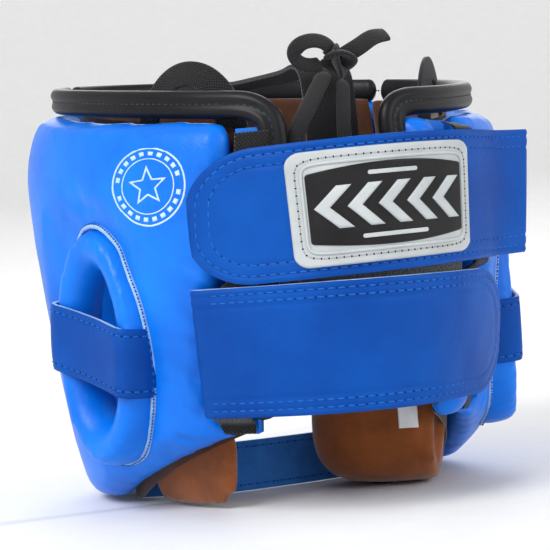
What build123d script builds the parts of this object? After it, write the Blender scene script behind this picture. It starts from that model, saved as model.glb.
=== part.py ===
"""Boxing headgear: a padded shell, its rear strap closure, chin strap and crown lace.

Frame: millimetres, +Z up, the face opening looks along -Y and the wearer's left is +X.
The headgear stands on its two cheeks. The origin is under the middle of the outer box.
"""
from build123d import *
from math import cos, degrees, hypot, radians, sin, tan
import os

os.makedirs("parts", exist_ok=True)

# ---------------------------------------------------------------- driving dimensions
half_width = 112.0          # plan radius from ear to ear, at the widest height
half_depth = 120.0          # plan radius from brow to nape, at the widest height
egg_factor = 0.26           # how much wider the front of the plan is than the back
widest_height = 165.0       # height where the shell is widest
base_taper = 0.16           # share of the girth lost from there down to the cheeks
rim_taper = 0.05            # share lost from there up to the rim

cover_thickness = 2.0
core_thickness = 19.4
lining_thickness = 2.0
layer_gap = 0.3             # clearance between skins, cores and neighbours
edge_turn = 3.0             # width of the cover turned round the core at an edge

rim_front_height = 221.0
rim_drop = 0.15             # fall of the rim per millimetre towards the nape
binding_height = 12.0
binding_depth = 7.0         # how far in from the outer skin the binding starts
binding_thickness = 8.0
seam_y = -78.0              # the temple seams between forehead and sides
brow_height = 138.0
nape_height = 37.0          # bottom edge of the side panels at the nape
nape_front_y = 80.0         # where that edge starts to slope down to the cheek
cheek_back_y = -20.0        # where the flat bottom of a cheek ends
face_half_width = 56.0      # half the opening between the cheeks
eye_half_width = 72.0       # half the opening at the eyes

ear_angle = 101.0           # ear centre, in degrees round the plan from the brow
ear_height = 80.0
ear_ring_half_width = 31.0
ear_ring_half_height = 56.0
ear_hole_half_width = 15.5
ear_hole_half_height = 35.5
ear_ring_rise = 11.0
ear_band_width = 31.0
ear_band_thickness = 2.5
ear_band_slope = 14.0       # degrees, falling towards the nape
ear_ring_rounding = 8.0
ear_ring_root = 16.0        # how deep the ring's base reaches inside the skin

# each panel's rear edge from the middle plane, its binding, its rear pad and its slope;
# the right panel reaches further round, as the closure is drawn over to the left
closure = {
    "left": {"side": 1, "edge": 38.0, "binding": 4.0, "pad": 0.0, "slope": 0.08},
    "right": {"side": -1, "edge": 8.0, "binding": 8.0, "pad": 20.0, "slope": 0.22},
}
closure_height = 180.0      # height where the edge distances above are measured
closure_foot = 60.0         # below this the edges run straight down
bar_width = 14.0
bar_thickness = 1.8

strap_thickness = 2.5
strap_clearance = 1.2       # inner strap run above the outer skin
tape_thickness = 1.3
upper_strap_height = 58.0
upper_strap_mid = 136.5
upper_strap_slope = 2.3     # degrees, rising towards the wearer's right
lower_strap_height = 54.0
lower_strap_mid = 77.8
upper_fold_radius = 5.0
upper_fold_lift = 7.5       # how far the fold stands out from the skin
upper_fold_reach = 25.0     # how far past its strap bar the upper strap folds
lower_strap_slope = 3.5     # degrees, rising towards the wearer's right
lower_fold_reach = 1.5
strap_tip_radius = 24.0
strap_spare = 10.0          # extra height of a strap's blank, trimmed by its outline

badge_width = 84.0
badge_height = 49.0
badge_x = -2.0              # the badge's middle, from the middle plane
badge_thickness = 2.2

chin_strap_height = 25.0
chin_strap_thickness = 3.0
web_width = 25.0
web_thickness = 2.0
lace_diameter = 6.0
far = 400.0                 # reach of the cutting prisms, past everything

cheek_lining_thickness = 9.0
cheek_lining_back = -12.0   # where the cheek lining ends and the neck pad starts
neck_pad_height = {"left": 44.0, "right": 60.0}
neck_pad_low = 0.8
neck_pad_waist = 0.80       # size of a neck pad's bottom, of its widest section
neck_pad_top_share = 0.86   # size of its top, of its widest section

cover_back = cover_thickness + layer_gap + core_thickness
lining_front = cover_back + layer_gap
shell_back = lining_front + lining_thickness
cheek_inner = shell_back + layer_gap + cheek_lining_thickness


# ---------------------------------------------------------------- the shell's surface
def girth(z):
    """Scale of the plan at one height: widest near the temples, drawn in at both ends."""
    if z < widest_height:
        return 1 + 0.02 - base_taper * ((widest_height - z) / widest_height) ** 1.4
    return 1 + 0.02 - rim_taper * ((z - widest_height) / 55.0) ** 2


def shell_xy(angle, depth, scale):
    """Plan point at an angle from the brow (degrees, + to the left), depth inside the skin."""
    a = radians(angle)
    x = (half_width - depth) * sin(a) * (1 + egg_factor * cos(a))
    y = -(half_depth - depth) * cos(a)
    return x * scale, y * scale


def shell_point(angle, depth, z):
    x, y = shell_xy(angle, depth, girth(z))
    return Vector(x, y, z)


def shell_normal(angle, z):
    """Outward horizontal normal of the outer skin."""
    step = 0.5
    tangent = shell_point(angle + step, 0, z) - shell_point(angle - step, 0, z)
    return Vector(tangent.Y, -tangent.X, 0).normalized()


section_heights = [-12, 35, 80, 125, 170, 240]
section_points = 16
egg_cache = {}


def egg(depth):
    """The solid inside a surface that lies this deep under the outer skin."""
    if depth not in egg_cache:
        sections = []
        for z in section_heights:
            angles = [i * 360 / section_points for i in range(section_points)]
            points = [shell_xy(a, depth, girth(z)) for a in angles]
            ring = Spline(*points, periodic=True)
            sections.append(Plane.XY.offset(z) * make_face(ring))
        egg_cache[depth] = loft(sections)
    return egg_cache[depth]


wall_cache = {}


def wall(outer, inner):
    """The layer between two depths, all the way round."""
    if (outer, inner) not in wall_cache:
        wall_cache[outer, inner] = egg(outer) - egg(inner)
    return wall_cache[outer, inner]


# ---------------------------------------------------------------- cutting prisms
def side_prism(points):
    """A closed outline in (y, z), extruded right through along X."""
    outline = make_face(Polyline(*points, close=True))
    return extrude(Plane.YZ * outline, far, both=True)


def front_prism(points, y_from, y_to):
    """A closed outline in (x, z), extruded along Y between two depths."""
    outline = make_face(Polyline(*points, close=True))
    placed = Plane((0, y_to, 0), x_dir=(1, 0, 0), z_dir=(0, -1, 0)) * outline
    return extrude(placed, y_to - y_from)


def rim_height(y):
    return rim_front_height - rim_drop * (y + half_depth - 5)


def pad_top(y):
    return rim_height(y) - binding_height


def closure_x(name, z, offset):
    """Distance from the middle plane of a line along the rear closure."""
    c = closure[name]
    fall = closure_height - max(z, closure_foot)
    return c["side"] * (c["edge"] + offset + c["slope"] * fall)


def closure_offsets(name):
    """Where the binding, rear pad, strap bar and side pad of a panel start."""
    pad_start = closure[name]["binding"] + layer_gap
    bar_start = pad_start
    if closure[name]["pad"] > 0:
        bar_start += closure[name]["pad"] + layer_gap
    side_start = bar_start + bar_width + layer_gap
    return pad_start, bar_start, side_start


def closure_slab(name, start, end):
    """A rear slab between two lines that run beside the closure."""
    heights = (-far, closure_foot, far)
    inner_line = [(closure_x(name, z, start), z) for z in heights]
    outer_line = [(closure_x(name, z, end), z) for z in reversed(heights)]
    return front_prism(inner_line + outer_line, 0, far)


def panel_side_view(inset=0.0):
    """The side panels' outline from the side: rim, nape, flat cheek bottom, temple seam."""
    seam = seam_y + layer_gap / 2
    return side_prism([
        (seam + inset, pad_top(seam) - inset), (far, pad_top(far) - inset),
        (far, nape_height + inset), (nape_front_y, nape_height + inset),
        (cheek_back_y, inset), (-far, inset), (-far, brow_height - inset),
        (seam + inset, brow_height - inset),
    ])


def panel_region(name, inset=0.0, start=None):
    """All that belongs to one side panel, drawn in from its edges by the inset."""
    side = closure[name]["side"]
    if start is None:
        start = closure_offsets(name)[2]
    front_view = [
        (side * (eye_half_width + inset), -far), (side * (eye_half_width + inset), 2),
        (side * (face_half_width + inset), 24), (side * (face_half_width + inset), 80),
        (side * (eye_half_width + inset), 102),
        (side * (eye_half_width + inset), brow_height - inset),
        (side * face_half_width * 0.9, brow_height - inset),
        (side * face_half_width * 0.9, far), (side * far, far), (side * far, -far),
    ]
    front_half = front_prism(front_view, -far, 0)
    rear_half = closure_slab(name, start + inset, far)
    return (front_half + rear_half) & panel_side_view(inset)


def forehead_region(inset=0.0):
    seam = seam_y - layer_gap / 2
    return side_prism([
        (seam - inset, pad_top(seam) - inset), (seam - inset, brow_height + inset),
        (-far, brow_height + inset), (-far, pad_top(-far) - inset),
    ])


# ---------------------------------------------------------------- ear openings
def ear_plane(name):
    side = closure[name]["side"]
    origin = shell_point(side * ear_angle, 0, ear_height)
    normal = shell_normal(ear_angle, ear_height)
    outward = Vector(side * normal.X, normal.Y, 0)
    along = Vector(-side * normal.Y, normal.X, 0)
    return Plane(origin, x_dir=along, z_dir=outward)


def ear_hole(name, extra=0.0):
    shape = Ellipse(ear_hole_half_width + extra, ear_hole_half_height + extra)
    return extrude(ear_plane(name) * shape, 60, both=True)


def ear_dome(name, grow):
    """A rounded pad on the ear plane, as wide as the ring and grown all round."""
    shape = Ellipse(ear_ring_half_width + grow, ear_ring_half_height + grow)
    base = ear_plane(name).offset(-ear_ring_root)
    dome = extrude(base * shape, ear_ring_root + ear_ring_rise + grow)
    top_edge = dome.edges().sort_by(ear_axis(name))[-1]
    return fillet(top_edge, ear_ring_rounding)


def ear_axis(name):
    plane = ear_plane(name)
    return Axis(plane.origin, plane.z_dir)


# ---------------------------------------------------------------- straps
class StrapPath:
    """One rear strap in plan: an inner run, a fold past its strap bar and an outer run.

    A place along it is (run, rise): run in millimetres round the skin from the root, and
    rise the distance outside the skin. Its width follows a straight line in height.
    """

    def __init__(self, root_angle, turn, z_low, z_high):
        self.root_angle = root_angle
        self.turn = turn
        self.z_low = z_low
        self.z_high = z_high
        self.fold_run = 0.0
        self.fold_radius = 0.0
        self.lift = 0.0
        self.lift_length = 1.0

    def set_fold(self, bar_end, reach, lift, radius):
        self.fold_run = bar_end + reach
        self.lift_length = reach
        self.lift = lift
        self.fold_radius = radius

    def run_at(self, angle):
        return self.turn * radians(angle - self.root_angle) * run_radius

    def run_of_x(self, x, z):
        """The run whose point on the skin lies this far from the middle plane."""
        low, high = 90.0, 180.0
        for _ in range(40):
            middle = (low + high) / 2
            if shell_xy(middle, 0, girth(z))[0] > abs(x):
                low = middle
            else:
                high = middle
        angle = low if x > 0 else 360 - low
        return self.run_at(angle)

    def point(self, run, rise, z):
        share = (z - self.z_low) / (self.z_high - self.z_low)
        scale = girth(self.z_low) * (1 - share) + girth(self.z_high) * share
        angle = self.root_angle + self.turn * degrees(run / run_radius)
        return shell_xy(angle, -rise, scale)

    def lifted(self, run):
        past = max(run - (self.fold_run - self.lift_length), 0) / self.lift_length
        return past ** 2

    def inner_rise(self, run):
        """Sewn to the skin at the root, just clear of it, then drawn away to the fold."""
        rise = strap_clearance + strap_thickness / 2
        sewn = strap_thickness / 2 + 0.4
        if run < sewn_length:
            return sewn + (rise - sewn) * max(run, 0) / sewn_length
        return rise + self.lift * self.lifted(run)

    def outer_rise(self, run):
        """Above the inner run by both tapes, and by the fold's width at the fold."""
        widening = 2 * self.fold_radius - layer_step
        return self.inner_rise(max(run, sewn_length)) + layer_step + widening * self.lifted(run)

    def line(self, start, end, extra=0.0, outer=False, count=16):
        rise = self.outer_rise if outer else self.inner_rise
        runs = [start + (end - start) * i / count for i in range(count + 1)]
        return [(run, rise(run) + extra) for run in runs]

    def fold_arc(self, start, end, count=12):
        """Part of the half circle at the fold, from 0 (inner run) to 180 degrees."""
        middle = self.inner_rise(self.fold_run) + self.fold_radius
        angles = [radians(start + (end - start) * i / count) for i in range(count + 1)]
        return [
            (self.fold_run + self.fold_radius * sin(a), middle - self.fold_radius * cos(a))
            for a in angles
        ]

    def hinge(self, z):
        """The outermost line of the fold, where the flap turns on its root."""
        middle = self.inner_rise(self.fold_run) + self.fold_radius
        run = self.fold_run + self.fold_radius + strap_thickness / 2
        x, y = self.point(run, middle, z)
        return Vector(x, y, z)

    def face(self, places, thickness, z):
        """The strap's section at one height: the places thickened evenly to both sides."""
        line = [self.point(run, rise, z) for run, rise in places]
        normals = []
        for i in range(len(line)):
            before = line[max(i - 1, 0)]
            after = line[min(i + 1, len(line) - 1)]
            dx, dy = after[0] - before[0], after[1] - before[1]
            size = hypot(dx, dy)
            normals.append((-dy / size, dx / size))
        half = thickness / 2
        left = [(p[0] + half * n[0], p[1] + half * n[1]) for p, n in zip(line, normals)]
        right = [(p[0] - half * n[0], p[1] - half * n[1]) for p, n in zip(line, normals)]
        edge_a, edge_b = Spline(*left), Spline(*right)
        ends = [Line(edge_a @ 0, edge_b @ 0), Line(edge_a @ 1, edge_b @ 1)]
        return Plane.XY.offset(z) * make_face([edge_a, edge_b] + ends)

    def band(self, places, thickness, outline):
        """A ruled band through the places, trimmed by an outline seen from behind."""
        heights = (self.z_low - strap_spare, self.z_high + strap_spare)
        faces = [self.face(places, thickness, z) for z in heights]
        return loft(faces, ruled=True) & outline


def rear_view(sketch):
    """A sketch in (x, z) made into a prism that covers the rear half."""
    plane = Plane((0, far, 0), x_dir=(1, 0, 0), z_dir=(0, -1, 0))
    return extrude(plane * sketch, far)


def strap_outline(height, mid, slope, tip_x=None, margin=0.0):
    """A strap seen from behind: parallel edges, and a rounded tip where one is given."""
    tall = height - 2 * margin
    reach = 2 * half_width
    strip = Rectangle(2 * reach, tall)
    if tip_x is not None:
        direction = 1 if tip_x > 0 else -1
        length = reach + abs(tip_x) - margin
        rounded = RectangleRounded(length, tall, strap_tip_radius - margin)
        strip = Pos(direction * (abs(tip_x) - margin - length / 2), 0) * rounded
        strip += Pos(-direction * reach / 2, 0) * Rectangle(reach, tall)
    return rear_view(Pos(0, mid) * Rot(0, 0, -slope) * strip)


def height_slice(low, high):
    return Pos(0, 0, (low + high) / 2) * Box(2 * far, 2 * far, high - low)


def side_half(name):
    side = closure[name]["side"]
    return Pos(side * far / 2, 0, 0) * Box(far, 2 * far, 2 * far)


nodes = {}

# ---------------------------------------------------------------- padded shell


def padded_piece(label, region, inset_region, core_region, hole=None, hole_in=None,
                 hole_core=None):
    """A cover turned round its core at the edges, and the foam core inside it."""
    cover = wall(0, cover_back) & region
    hollow = egg(cover_thickness) & inset_region
    core = wall(cover_thickness + layer_gap, cover_back) & core_region
    if hole is not None:
        cover -= hole
        hollow -= hole_in
        core -= hole_core
    nodes[label + "_cover"] = cover - hollow
    nodes[label + "_foam"] = core


padded_piece("forehead", forehead_region(), forehead_region(edge_turn),
             forehead_region(edge_turn + layer_gap))
nodes["forehead_lining"] = wall(lining_front, shell_back) & forehead_region()

for name in closure:
    side = closure[name]["side"]
    pad_start, bar_start, side_start = closure_offsets(name)
    padded_piece(name + "_side", panel_region(name), panel_region(name, edge_turn),
                 panel_region(name, edge_turn + layer_gap), ear_hole(name),
                 ear_hole(name, edge_turn), ear_hole(name, edge_turn + layer_gap))
    lining_region = panel_region(name, 0, closure[name]["binding"] / 2)
    nodes[name + "_side_lining"] = (wall(lining_front, shell_back) & lining_region) - ear_hole(name)

    # the groove between side pad and rear edge, with its bottom strip
    groove = closure_slab(name, bar_start, bar_start + bar_width) & panel_side_view(1.0)
    nodes[name + "_strap_channel"] = wall(10, cover_back) & groove
    if closure[name]["pad"] > 0:
        pad_end = pad_start + closure[name]["pad"]
        pad_region = closure_slab(name, pad_start, pad_end) & panel_side_view()
        nodes[name + "_rear_pad"] = wall(0, cover_back) & pad_region

    # binding tape over the rim and down the rear edge
    front_limit = side_prism([
        (seam_y + layer_gap / 2, -far), (far, -far), (far, far), (seam_y + layer_gap / 2, far)])
    rim_band = side_prism([
        (-far, pad_top(-far) + layer_gap), (far, pad_top(far) + layer_gap),
        (far, rim_height(far)), (-far, rim_height(-far))])
    front_half = Pos(side * far / 2, -far / 2, 0) * Box(far, far, 2 * far)
    rim_part = rim_band & front_limit & (front_half + closure_slab(name, 0, far))
    edge_part = closure_slab(name, 0, closure[name]["binding"]) & height_slice(
        nape_height, rim_height(half_depth) - binding_height / 2)
    binding_wall = wall(binding_depth, binding_depth + binding_thickness)
    nodes[name + "_binding"] = binding_wall & (rim_part + edge_part)

    # padded ear ring round the ear opening, and the band that crosses it
    ring = ear_dome(name, 0) - ear_hole(name) - egg(-layer_gap)
    nodes[name + "_ear_ring"] = ring
    band_shell = ear_dome(name, layer_gap + ear_band_thickness) - ear_dome(name, layer_gap)
    band_slice = ear_plane(name) * Rot(0, 0, -side * ear_band_slope) * Box(
        4 * ear_ring_half_width, ear_band_width, 4 * ear_ring_half_width)
    nodes[name + "_ear_band"] = (band_shell & band_slice) - egg(-layer_gap)

    # padding outside and inside the cheek
    cheek_front = front_prism([
        (side * (face_half_width + 4), 12), (side * (face_half_width + 4), 76),
        (side * far, 84), (side * far, 8)], -far, seam_y + 16)
    nodes[name + "_cheek_pad"] = wall(-8, -layer_gap) & cheek_front
    inner_cheek = side_prism([
        (seam_y - 4, 3), (cheek_lining_back, 3), (cheek_lining_back, 70), (seam_y - 4, 78)])
    cheek_face = front_prism([
        (side * (face_half_width + 1), 2), (side * (face_half_width + 1), far),
        (side * far, far), (side * far, 2)], -far, far)
    nodes[name + "_cheek_lining"] = (
        wall(shell_back + layer_gap, cheek_inner) & inner_cheek & cheek_face)

nodes["forehead_binding"] = wall(binding_depth, binding_depth + binding_thickness) & side_prism([
    (-far, pad_top(-far) + layer_gap), (seam_y - layer_gap / 2, pad_top(seam_y) + layer_gap),
    (seam_y - layer_gap / 2, rim_height(seam_y)), (-far, rim_height(-far))])

# ---------------------------------------------------------------- rear straps
run_radius = 0.93 * half_width
sewn_length = 12.0
layer_step = strap_thickness + 2 * tape_thickness + 3 * layer_gap + 0.3

upper_low = upper_strap_mid - upper_strap_height / 2
upper_high = upper_strap_mid + upper_strap_height / 2
lower_low = lower_strap_mid - lower_strap_height / 2
lower_high = lower_strap_mid + lower_strap_height / 2


def bar_ends(name, z):
    """Where a strap bar starts and ends, measured from the middle plane."""
    start = closure_offsets(name)[1]
    return closure_x(name, z, start), closure_x(name, z, start + bar_width)


upper = StrapPath(148.0, 1, upper_low, upper_high)
upper.set_fold(upper.run_of_x(bar_ends("right", upper_strap_mid)[1], upper_strap_mid),
               upper_fold_reach, upper_fold_lift, upper_fold_radius)
lower = StrapPath(216.0, -1, lower_low, lower_high)
lower.set_fold(lower.run_of_x(bar_ends("left", lower_strap_mid)[1], lower_strap_mid),
               lower_fold_reach, 0.0, layer_step / 2)

straps = {
    "upper": {"path": upper, "height": upper_strap_height, "mid": upper_strap_mid,
              "slope": upper_strap_slope, "tip": 76.0, "tip_run": -40.0,
              "bar": "right", "zone": (upper_low, upper_high + 4)},
    "lower": {"path": lower, "height": lower_strap_height, "mid": lower_strap_mid,
              "slope": lower_strap_slope, "tip": -78.0, "tip_run": -44.0,
              "bar": "left", "zone": (lower_low - 3.5, lower_high - 1)},
}
tape_inset = 2.5
fold_gap_angle = 6.0        # half the clearance between root and flap at the fold

for name in straps:
    strap = straps[name]
    path = strap["path"]
    plain = strap_outline(strap["height"], strap["mid"], strap["slope"])
    tipped = strap_outline(strap["height"], strap["mid"], strap["slope"], strap["tip"])
    root_line = path.line(0, path.fold_run) + path.fold_arc(0, 90 - fold_gap_angle)[1:]
    flap_line = path.fold_arc(90 + fold_gap_angle, 180)[:-1]
    flap_line += path.line(path.fold_run, strap["tip_run"], outer=True, count=24)
    nodes[name + "_strap_root"] = path.band(root_line, strap_thickness, plain)
    nodes[name + "_strap_flap"] = path.band(flap_line, strap_thickness, tipped)

    # loop tape on the root, hook tape under the flap
    tape_rise = strap_thickness / 2 + layer_gap + tape_thickness / 2
    bar_run = path.run_of_x(bar_ends(strap["bar"], strap["mid"])[0], strap["mid"])
    inset_plain = strap_outline(strap["height"], strap["mid"], strap["slope"], None, tape_inset)
    loop_line = path.line(sewn_length + 2, bar_run - 14, extra=tape_rise)
    nodes[name + "_loop_tape"] = path.band(loop_line, tape_thickness, inset_plain)
    hook_line = path.line(sewn_length + 2, bar_run - 14, extra=-tape_rise, outer=True)
    nodes[name + "_hook_tape"] = path.band(hook_line, tape_thickness, inset_plain)


def strap_bar(name, zone):
    """Webbing in the groove, standing out over the strap that passes under it."""
    start = closure_offsets(name)[1]
    slab = closure_slab(name, start, start + bar_width)
    top = pad_top(half_depth) - 2
    bottom = nape_height + 1.5
    low, high = zone[0] - 1.5, zone[1] + 1.5
    outer_face = -(strap_clearance + strap_thickness + 0.7 + bar_thickness)
    inner_face = outer_face + bar_thickness
    seat = 8.0
    flat = wall(seat - bar_thickness, seat) & (
        height_slice(bottom, low) + height_slice(high, top))
    bar = wall(outer_face, inner_face) & height_slice(low - bar_thickness, high + bar_thickness)
    legs = wall(outer_face, seat) & (
        height_slice(low - bar_thickness, low) + height_slice(high, high + bar_thickness))
    return (flat + bar + legs) & slab


nodes["right_strap_bar"] = strap_bar("right", straps["upper"]["zone"])
nodes["left_strap_bar"] = strap_bar("left", straps["lower"]["zone"])

# ---------------------------------------------------------------- badge on the upper flap
badge_run = upper.run_at(180)
badge_line_ends = (badge_run - badge_width, badge_run + badge_width)


def badge_layer(sketch, start, thickness):
    """A layer that follows the flap, starting this far above its leather."""
    extra = strap_thickness / 2 + start + thickness / 2
    line = upper.line(*badge_line_ends, extra=extra, outer=True, count=24)
    placed = Pos(badge_x, upper_strap_mid) * Rot(0, 0, -upper_strap_slope) * sketch
    return upper.band(line, thickness, rear_view(placed))


badge_raised = 1.0
badge_border = 5.0
panel_width = badge_width - 2 * badge_border
panel_height = badge_height - 2 * badge_border
frame_width = 1.2
barrel_gap = 0.5            # between the frame and the barrel panel
barrel_bow = 3.0            # how much lower the barrel's ends are than its middle
motif_thickness = 0.8
nodes["badge_base"] = badge_layer(
    RectangleRounded(badge_width, badge_height, 6), layer_gap, badge_thickness)
on_base = layer_gap + badge_thickness + layer_gap
frame_sketch = RectangleRounded(panel_width, panel_height, 2) - Rectangle(
    panel_width - 2 * frame_width, panel_height - 2 * frame_width)
nodes["badge_frame"] = badge_layer(frame_sketch, on_base, badge_raised)
barrel_half_w = panel_width / 2 - frame_width - barrel_gap
barrel_half_h = panel_height / 2 - frame_width - barrel_gap
barrel_end = barrel_half_h - barrel_bow
barrel = make_face([
    Line((-barrel_half_w, barrel_end), (-barrel_half_w, -barrel_end)),
    ThreePointArc((-barrel_half_w, -barrel_end), (0, -barrel_half_h),
                  (barrel_half_w, -barrel_end)),
    Line((barrel_half_w, -barrel_end), (barrel_half_w, barrel_end)),
    ThreePointArc((barrel_half_w, barrel_end), (0, barrel_half_h),
                  (-barrel_half_w, barrel_end)),
])
nodes["badge_panel"] = badge_layer(barrel, on_base, badge_raised)
on_panel = on_base + badge_raised + layer_gap


def chevron(x, half, width):
    """One V-shaped bar, pointing towards +X."""
    return make_face(Polyline(
        (x - width, half), (x, half), (x + half, 0), (x, -half), (x - width, -half),
        (x + half - width, 0), close=True))


chevron_half, chevron_width, chevron_pitch, chevron_count = 9.0, 6.0, 12.75, 5
motif = Sketch()
for i in range(chevron_count):
    middle = (i - (chevron_count - 1) / 2) * chevron_pitch
    motif += chevron(middle - (chevron_half - chevron_width) / 2, chevron_half, chevron_width)
nodes["badge_motif"] = badge_layer(motif, on_panel, motif_thickness)

# ---------------------------------------------------------------- chin strap
chin_points = [(67.0, -20.0), (42.0, -7.0), (2.0, -8.0), (-34.0, -15.0), (-55.0, -31.0)]
chin_floor = 0.6
chin_tab_points = [(-66.5, -32.6), (-57.5, -25.6), (-47.5, -17.6)]


def ribbon_face(points, thickness, start=0.0, end=1.0, offset=0.0):
    """A curve's stretch thickened to both sides, shifted sideways by the offset."""
    curve = Spline(*points)
    samples = 24
    left, right = [], []
    for i in range(samples + 1):
        place = curve @ (start + (end - start) * i / samples)
        tangent = curve % (start + (end - start) * i / samples)
        normal = Vector(-tangent.Y, tangent.X, 0)
        left.append(place + normal * (offset + thickness / 2))
        right.append(place + normal * (offset - thickness / 2))
    edge_a, edge_b = Spline(*left), Spline(*right)
    ends = [Line(edge_a @ 0, edge_b @ 0), Line(edge_a @ 1, edge_b @ 1)]
    return make_face([edge_a, edge_b] + ends)


def upright_band(points, thickness, low, high, start=0.0, end=1.0, offset=0.0):
    """A band on edge that follows a curve in plan."""
    face = ribbon_face(points, thickness, start, end, offset)
    return extrude(Plane.XY.offset(low) * face, high - low)


chin_top = chin_floor + chin_strap_height
nodes["chin_strap"] = upright_band(chin_points, chin_strap_thickness, chin_floor, chin_top)
chin_line = Spline(*chin_points)
chin_tangent = chin_line % 0
chin_hinge = chin_line @ 0 + Vector(-chin_tangent.Y, chin_tangent.X, 0) * chin_strap_thickness / 2

anchor_plane = Plane(origin=chin_line @ 0, x_dir=-chin_tangent, z_dir=(0, 0, 1))
anchor_length = 20.0
tab_inset, tape_step = 2.0, 4.0      # how far the tab and its tapes stop short of the strap's edges
chin_tape_thickness = 0.8
chin_tape_offset = 0.15 + chin_tape_thickness / 2
anchor = Box(anchor_length, chin_strap_thickness, chin_strap_height, align=(Align.MIN, Align.CENTER, Align.MIN))
anchor_start = Pos(layer_gap, 0, chin_floor)
nodes["chin_strap_anchor"] = (anchor_plane * anchor_start * anchor) & egg(
    cheek_inner + layer_gap)
nodes["chin_tab"] = upright_band(chin_tab_points, strap_thickness, chin_floor + tab_inset,
                                 chin_top - tab_inset)
nodes["chin_loop_tape"] = upright_band(
    chin_tab_points, chin_tape_thickness, chin_floor + tape_step, chin_top - tape_step, 0.4, 0.95,
    strap_thickness / 2 + chin_tape_offset)
nodes["chin_hook_tape"] = upright_band(
    chin_points, chin_tape_thickness, chin_floor + tape_step, chin_top - tape_step, 0.88, 0.99,
    -chin_strap_thickness / 2 - chin_tape_offset)

# ---------------------------------------------------------------- neck pads and the label
# plan outlines, from the shell's inside to the pad's round face
neck_pad_plan = {
    "left": [(92, -6), (66, -5), (57, 12), (52, 32), (48, 50), (54, 62), (92, 62)],
    "right": [(-100, -5), (-62, -4), (-38, -2), (-17, 4), (-12, 18), (-20, 34), (-38, 43),
              (-62, 50), (-80, 58), (-100, 58)],
}
for name in closure:
    height = neck_pad_height[name]
    outline = neck_pad_plan[name]
    middle_x = sum(x for x, y in outline) / len(outline)
    middle_y = sum(y for x, y in outline) / len(outline)
    sections = []
    for share, scale in ((0.0, neck_pad_waist), (0.25, 1.0), (0.7, 1.0), (1.0, neck_pad_top_share)):
        ring = [(middle_x + (x - middle_x) * scale, middle_y + (y - middle_y) * scale)
                for x, y in outline]
        face = make_face(Spline(*ring, periodic=True))
        sections.append(Plane.XY.offset(neck_pad_low + share * (height - neck_pad_low)) * face)
    nodes[name + "_neck_pad"] = loft(sections) & egg(shell_back + layer_gap)

label_width, label_height, label_thickness = 12.0, 13.0, 0.8
label_centre = (-39.0, 46.5, 36.0)
label_turn = 162.0          # degrees, across the pad's rear face
nodes["size_label"] = Pos(*label_centre) * Rot(0, 0, label_turn) * Box(
    label_width, label_thickness, label_height)

# ---------------------------------------------------------------- crown webbing and lace
web_x = 4.0
crown_profile = [(-92.0, 208.0), (-60.0, 210.0), (0.0, 206.0), (50.0, 203.0), (70.0, 203.0),
                 (79.0, 197.0), (82.0, 182.0), (83.0, 160.0)]
crown_face = ribbon_face(crown_profile, web_thickness)
nodes["crown_strap"] = Pos(web_x, 0, 0) * extrude(
    Plane.YZ * crown_face, web_width / 2, both=True)

loop_y = 52.0
loop_half_length = 26.0
loop_rise = 13.0
loop_sewn_depth = 26.0
loop_width = 11.0
loop_base = rim_height(loop_y) - loop_sewn_depth
for name in closure:
    loop_top = rim_height(loop_y) + loop_rise - loop_base
    arch = Ellipse(loop_half_length, loop_top) - Ellipse(
        loop_half_length - loop_width, loop_top - loop_width)
    arch_prism = extrude(Plane.YZ * (Pos(loop_y, loop_base) * arch), far, both=True)
    loop_wall = wall(shell_back + layer_gap, shell_back + layer_gap + web_thickness)
    above = height_slice(loop_base, far)
    nodes[name + "_crown_loop"] = loop_wall & arch_prism & above & side_half(name)


def lace_tube(points):
    """A round tube of straight runs joined by the largest arcs they allow."""
    radii = []
    for before, here, after in zip(points, points[1:], points[2:]):
        a, b = Vector(*here) - Vector(*before), Vector(*after) - Vector(*here)
        turn = radians(a.get_angle(b))
        radii.append(0.45 * min(a.length, b.length) / tan(turn / 2))
    print("lace radii", [round(r, 1) for r in radii])
    line = FilletPolyline(*points, radius=radii)
    start = Plane(origin=line @ 0, z_dir=line % 0)
    print("lace length", round(line.length, 1))
    return sweep(start * Circle(lace_diameter / 2), path=line)


left_leg = [(9.5, 93.0, 197.0), (19.0, 98.0, 184.0), (28.0, 99.0, 170.0), (31.5, 96.0, 155.0),
            (29.0, 90.0, 141.0)]
right_leg = [(1.5, 94.0, 193.5), (4.0, 97.0, 178.0), (4.5, 98.0, 162.0), (2.5, 94.0, 146.0),
             (1.0, 92.0, 138.0)]
nodes["lace_left_leg"] = lace_tube(left_leg)
nodes["lace_right_leg"] = lace_tube(right_leg)
knot_centre = (2.0, 91.8, 202.0)
knot_size = (13.0, 11.0, 14.0)
knot_rounding = 4.5
bow_centre = (17.5, 91.5, 207.0)
bow_radius, bow_thickness = 6.0, 2.4
tail_start = (-4.8, 91.5, 206.0)
tail_lean, tail_radius, tail_length = 68.0, 2.6, 22.0
knot = Pos(*knot_centre) * Box(*knot_size)
nodes["lace_knot"] = fillet(knot.edges(), knot_rounding)
nodes["lace_bow"] = Pos(*bow_centre) * Rot(90, 0, 0) * Torus(bow_radius, bow_thickness)
nodes["lace_tail"] = Pos(*tail_start) * Rot(0, -tail_lean, 0) * Cylinder(
    tail_radius, tail_length, align=(Align.CENTER, Align.CENTER, Align.MIN))

# ---------------------------------------------------------------- place and write
cords = ["lace_left_leg", "lace_right_leg", "lace_knot", "lace_bow", "lace_tail"]
boxes = [shape.bounding_box() for label, shape in nodes.items() if label not in cords]
middle_x = (min(b.min.X for b in boxes) + max(b.max.X for b in boxes)) / 2
middle_y = (min(b.min.Y for b in boxes) + max(b.max.Y for b in boxes)) / 2
lowest = min(b.min.Z for b in boxes)
shift = Vector(-middle_x, -middle_y, -lowest)
print("shift", shift.X, shift.Y, shift.Z)

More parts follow.
